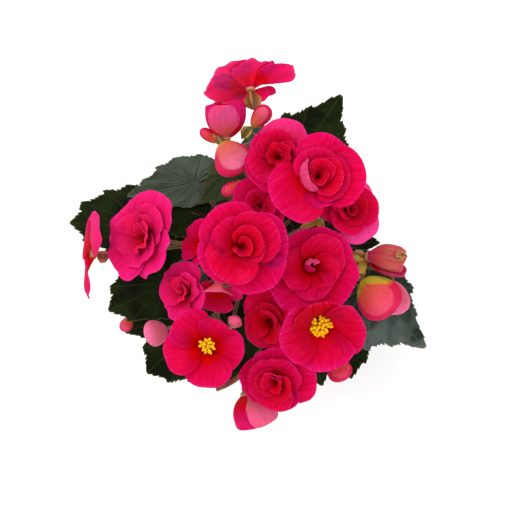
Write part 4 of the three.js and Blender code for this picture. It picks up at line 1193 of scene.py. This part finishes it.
vessels = []
for name, size, tall, rusty in [
    ("bloom_far_west", 1, 1, 0.9), ("bloom_far_north", 1.25, 1.2, 0.35), ("bloom_faded", 1, 1, 0.5),
    ("bud_north_tiny", 0.8, 1.4, 0), ("bud_east", 1, 1, 0.2),
]:
    foot, axis = feet[name]
    clear_selection()
    bpy.ops.mesh.primitive_uv_sphere_add(segments=96, ring_count=24, radius=1)
    capsule = bpy.context.object
    spread = []
    for corner in capsule.data.vertices:
        x, y, z = corner.co
        height = VESSEL_LENGTH / 2 * (z + 1)
        span = np.interp(height, [0, 0.6, 3.5, 7, 9.0, VESSEL_LENGTH], [0.0, 1.2, 5.1, WING_REACH, 2.6, 0.0])
        about = math.degrees(math.atan2(y, x)) if abs(x) + abs(y) > 1e-6 else 0
        aside = min(abs((about - bearing + 180) % 360 - 180) for bearing in WING_BEARINGS)
        fin = math.exp(-((aside / WING_SPREAD) ** 2))
        reach = span * (0.42 + 0.58 * fin)
        flat_reach = math.hypot(x, y) or 1
        sunk = (height - VESSEL_LENGTH) * tall
        corner.co = Vector((x / flat_reach * reach, y / flat_reach * reach, sunk)) * size
        spread.append(fin * span / WING_REACH)
    set_labels(capsule.data, wing=spread, rusty=rusty)
    set_down(capsule, foot - axis * 0.3, UP.rotation_difference(axis))
    vessels.append(capsule)
# bracts: small boat-shaped scales in pairs where the stalks part
for junction, tip, wide in [
    ((48, 20.8, 213), (34.1, 14.8, 214), 5),
    ((47.5, 20.5, 213), (47.8, 11.6, 215), 5),
    ((79, -5, 200), (67.4, -3.4, 204), 6),
    ((78, -7, 200), (71.8, -17.4, 204), 6),
    ((-18, 71, 203), (-24.5, 78, 207), 5),
]:
    scale = grid_blank(10, 14)
    start, course = Vector(junction), Vector(tip) - Vector(junction)
    side = course.cross(UP).normalized()
    spread = []
    for corner in scale.data.vertices:
        u, v = corner.co.x, (corner.co.y + 1) / 2
        half = wide / 2 * math.sin(math.pi * (0.12 + 0.86 * v)) ** 0.8
        arch = UP * (2.2 * math.sin(math.pi * v) - 1.3 * u * u)
        corner.co = (start + course * v + side * u * half + arch) * MM
        spread.append(0.55 + 0.45 * max(abs(u) ** 3, v**4))
    finish_by_modifier(scale, "SOLIDIFY", thickness=0.6 * MM, offset=0)
    set_labels(scale.data, wing=(spread * 2)[:len(scale.data.vertices)])
    vessels.append(scale)
vessels = join_pieces(vessels, "seed_vessels")
smooth_faces(vessels, 50)
vessels.data.materials.append(vessel_paint())
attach(vessels, "root")
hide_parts("stems")

# Floor and light. A plain white table under a large soft overhead light, with a bright,
# even surround.
clear_selection()
bpy.ops.mesh.primitive_plane_add(size=8, location=(0, 0, -0.0003))
table = bpy.context.object
table.name = "table_top"
white_card, shader = new_paint("white_card", 0.9, 0.1)
faint = ramp_node(white_card, object_grain(white_card, 6, 2), [(0.3, 0.88), (0.7, 0.90)])
give_colour(white_card, shader, faint)
table.data.materials.append(white_card)
LAMP_SIZE = 1.8
LAMP_AIM = Vector((0, 0, 0.15))
for place, power in (((-0.9, 0.7, 2.1), 34), ((1.1, -0.6, 2.0), 16)):
    bpy.ops.object.light_add(type="AREA", location=place)
    lamp = bpy.context.object
    lamp.data.size = LAMP_SIZE
    lamp.data.energy = power
    lamp.rotation_euler = (LAMP_AIM - Vector(place)).to_track_quat("-Z", "Y").to_euler()
surround = bpy.data.worlds.new("bright_surround")
surround.use_nodes = True
surround.node_tree.nodes["Background"].inputs["Color"].default_value = (1, 1, 1, 1)
surround.node_tree.nodes["Background"].inputs["Strength"].default_value = 1.0
bpy.context.scene.world = surround
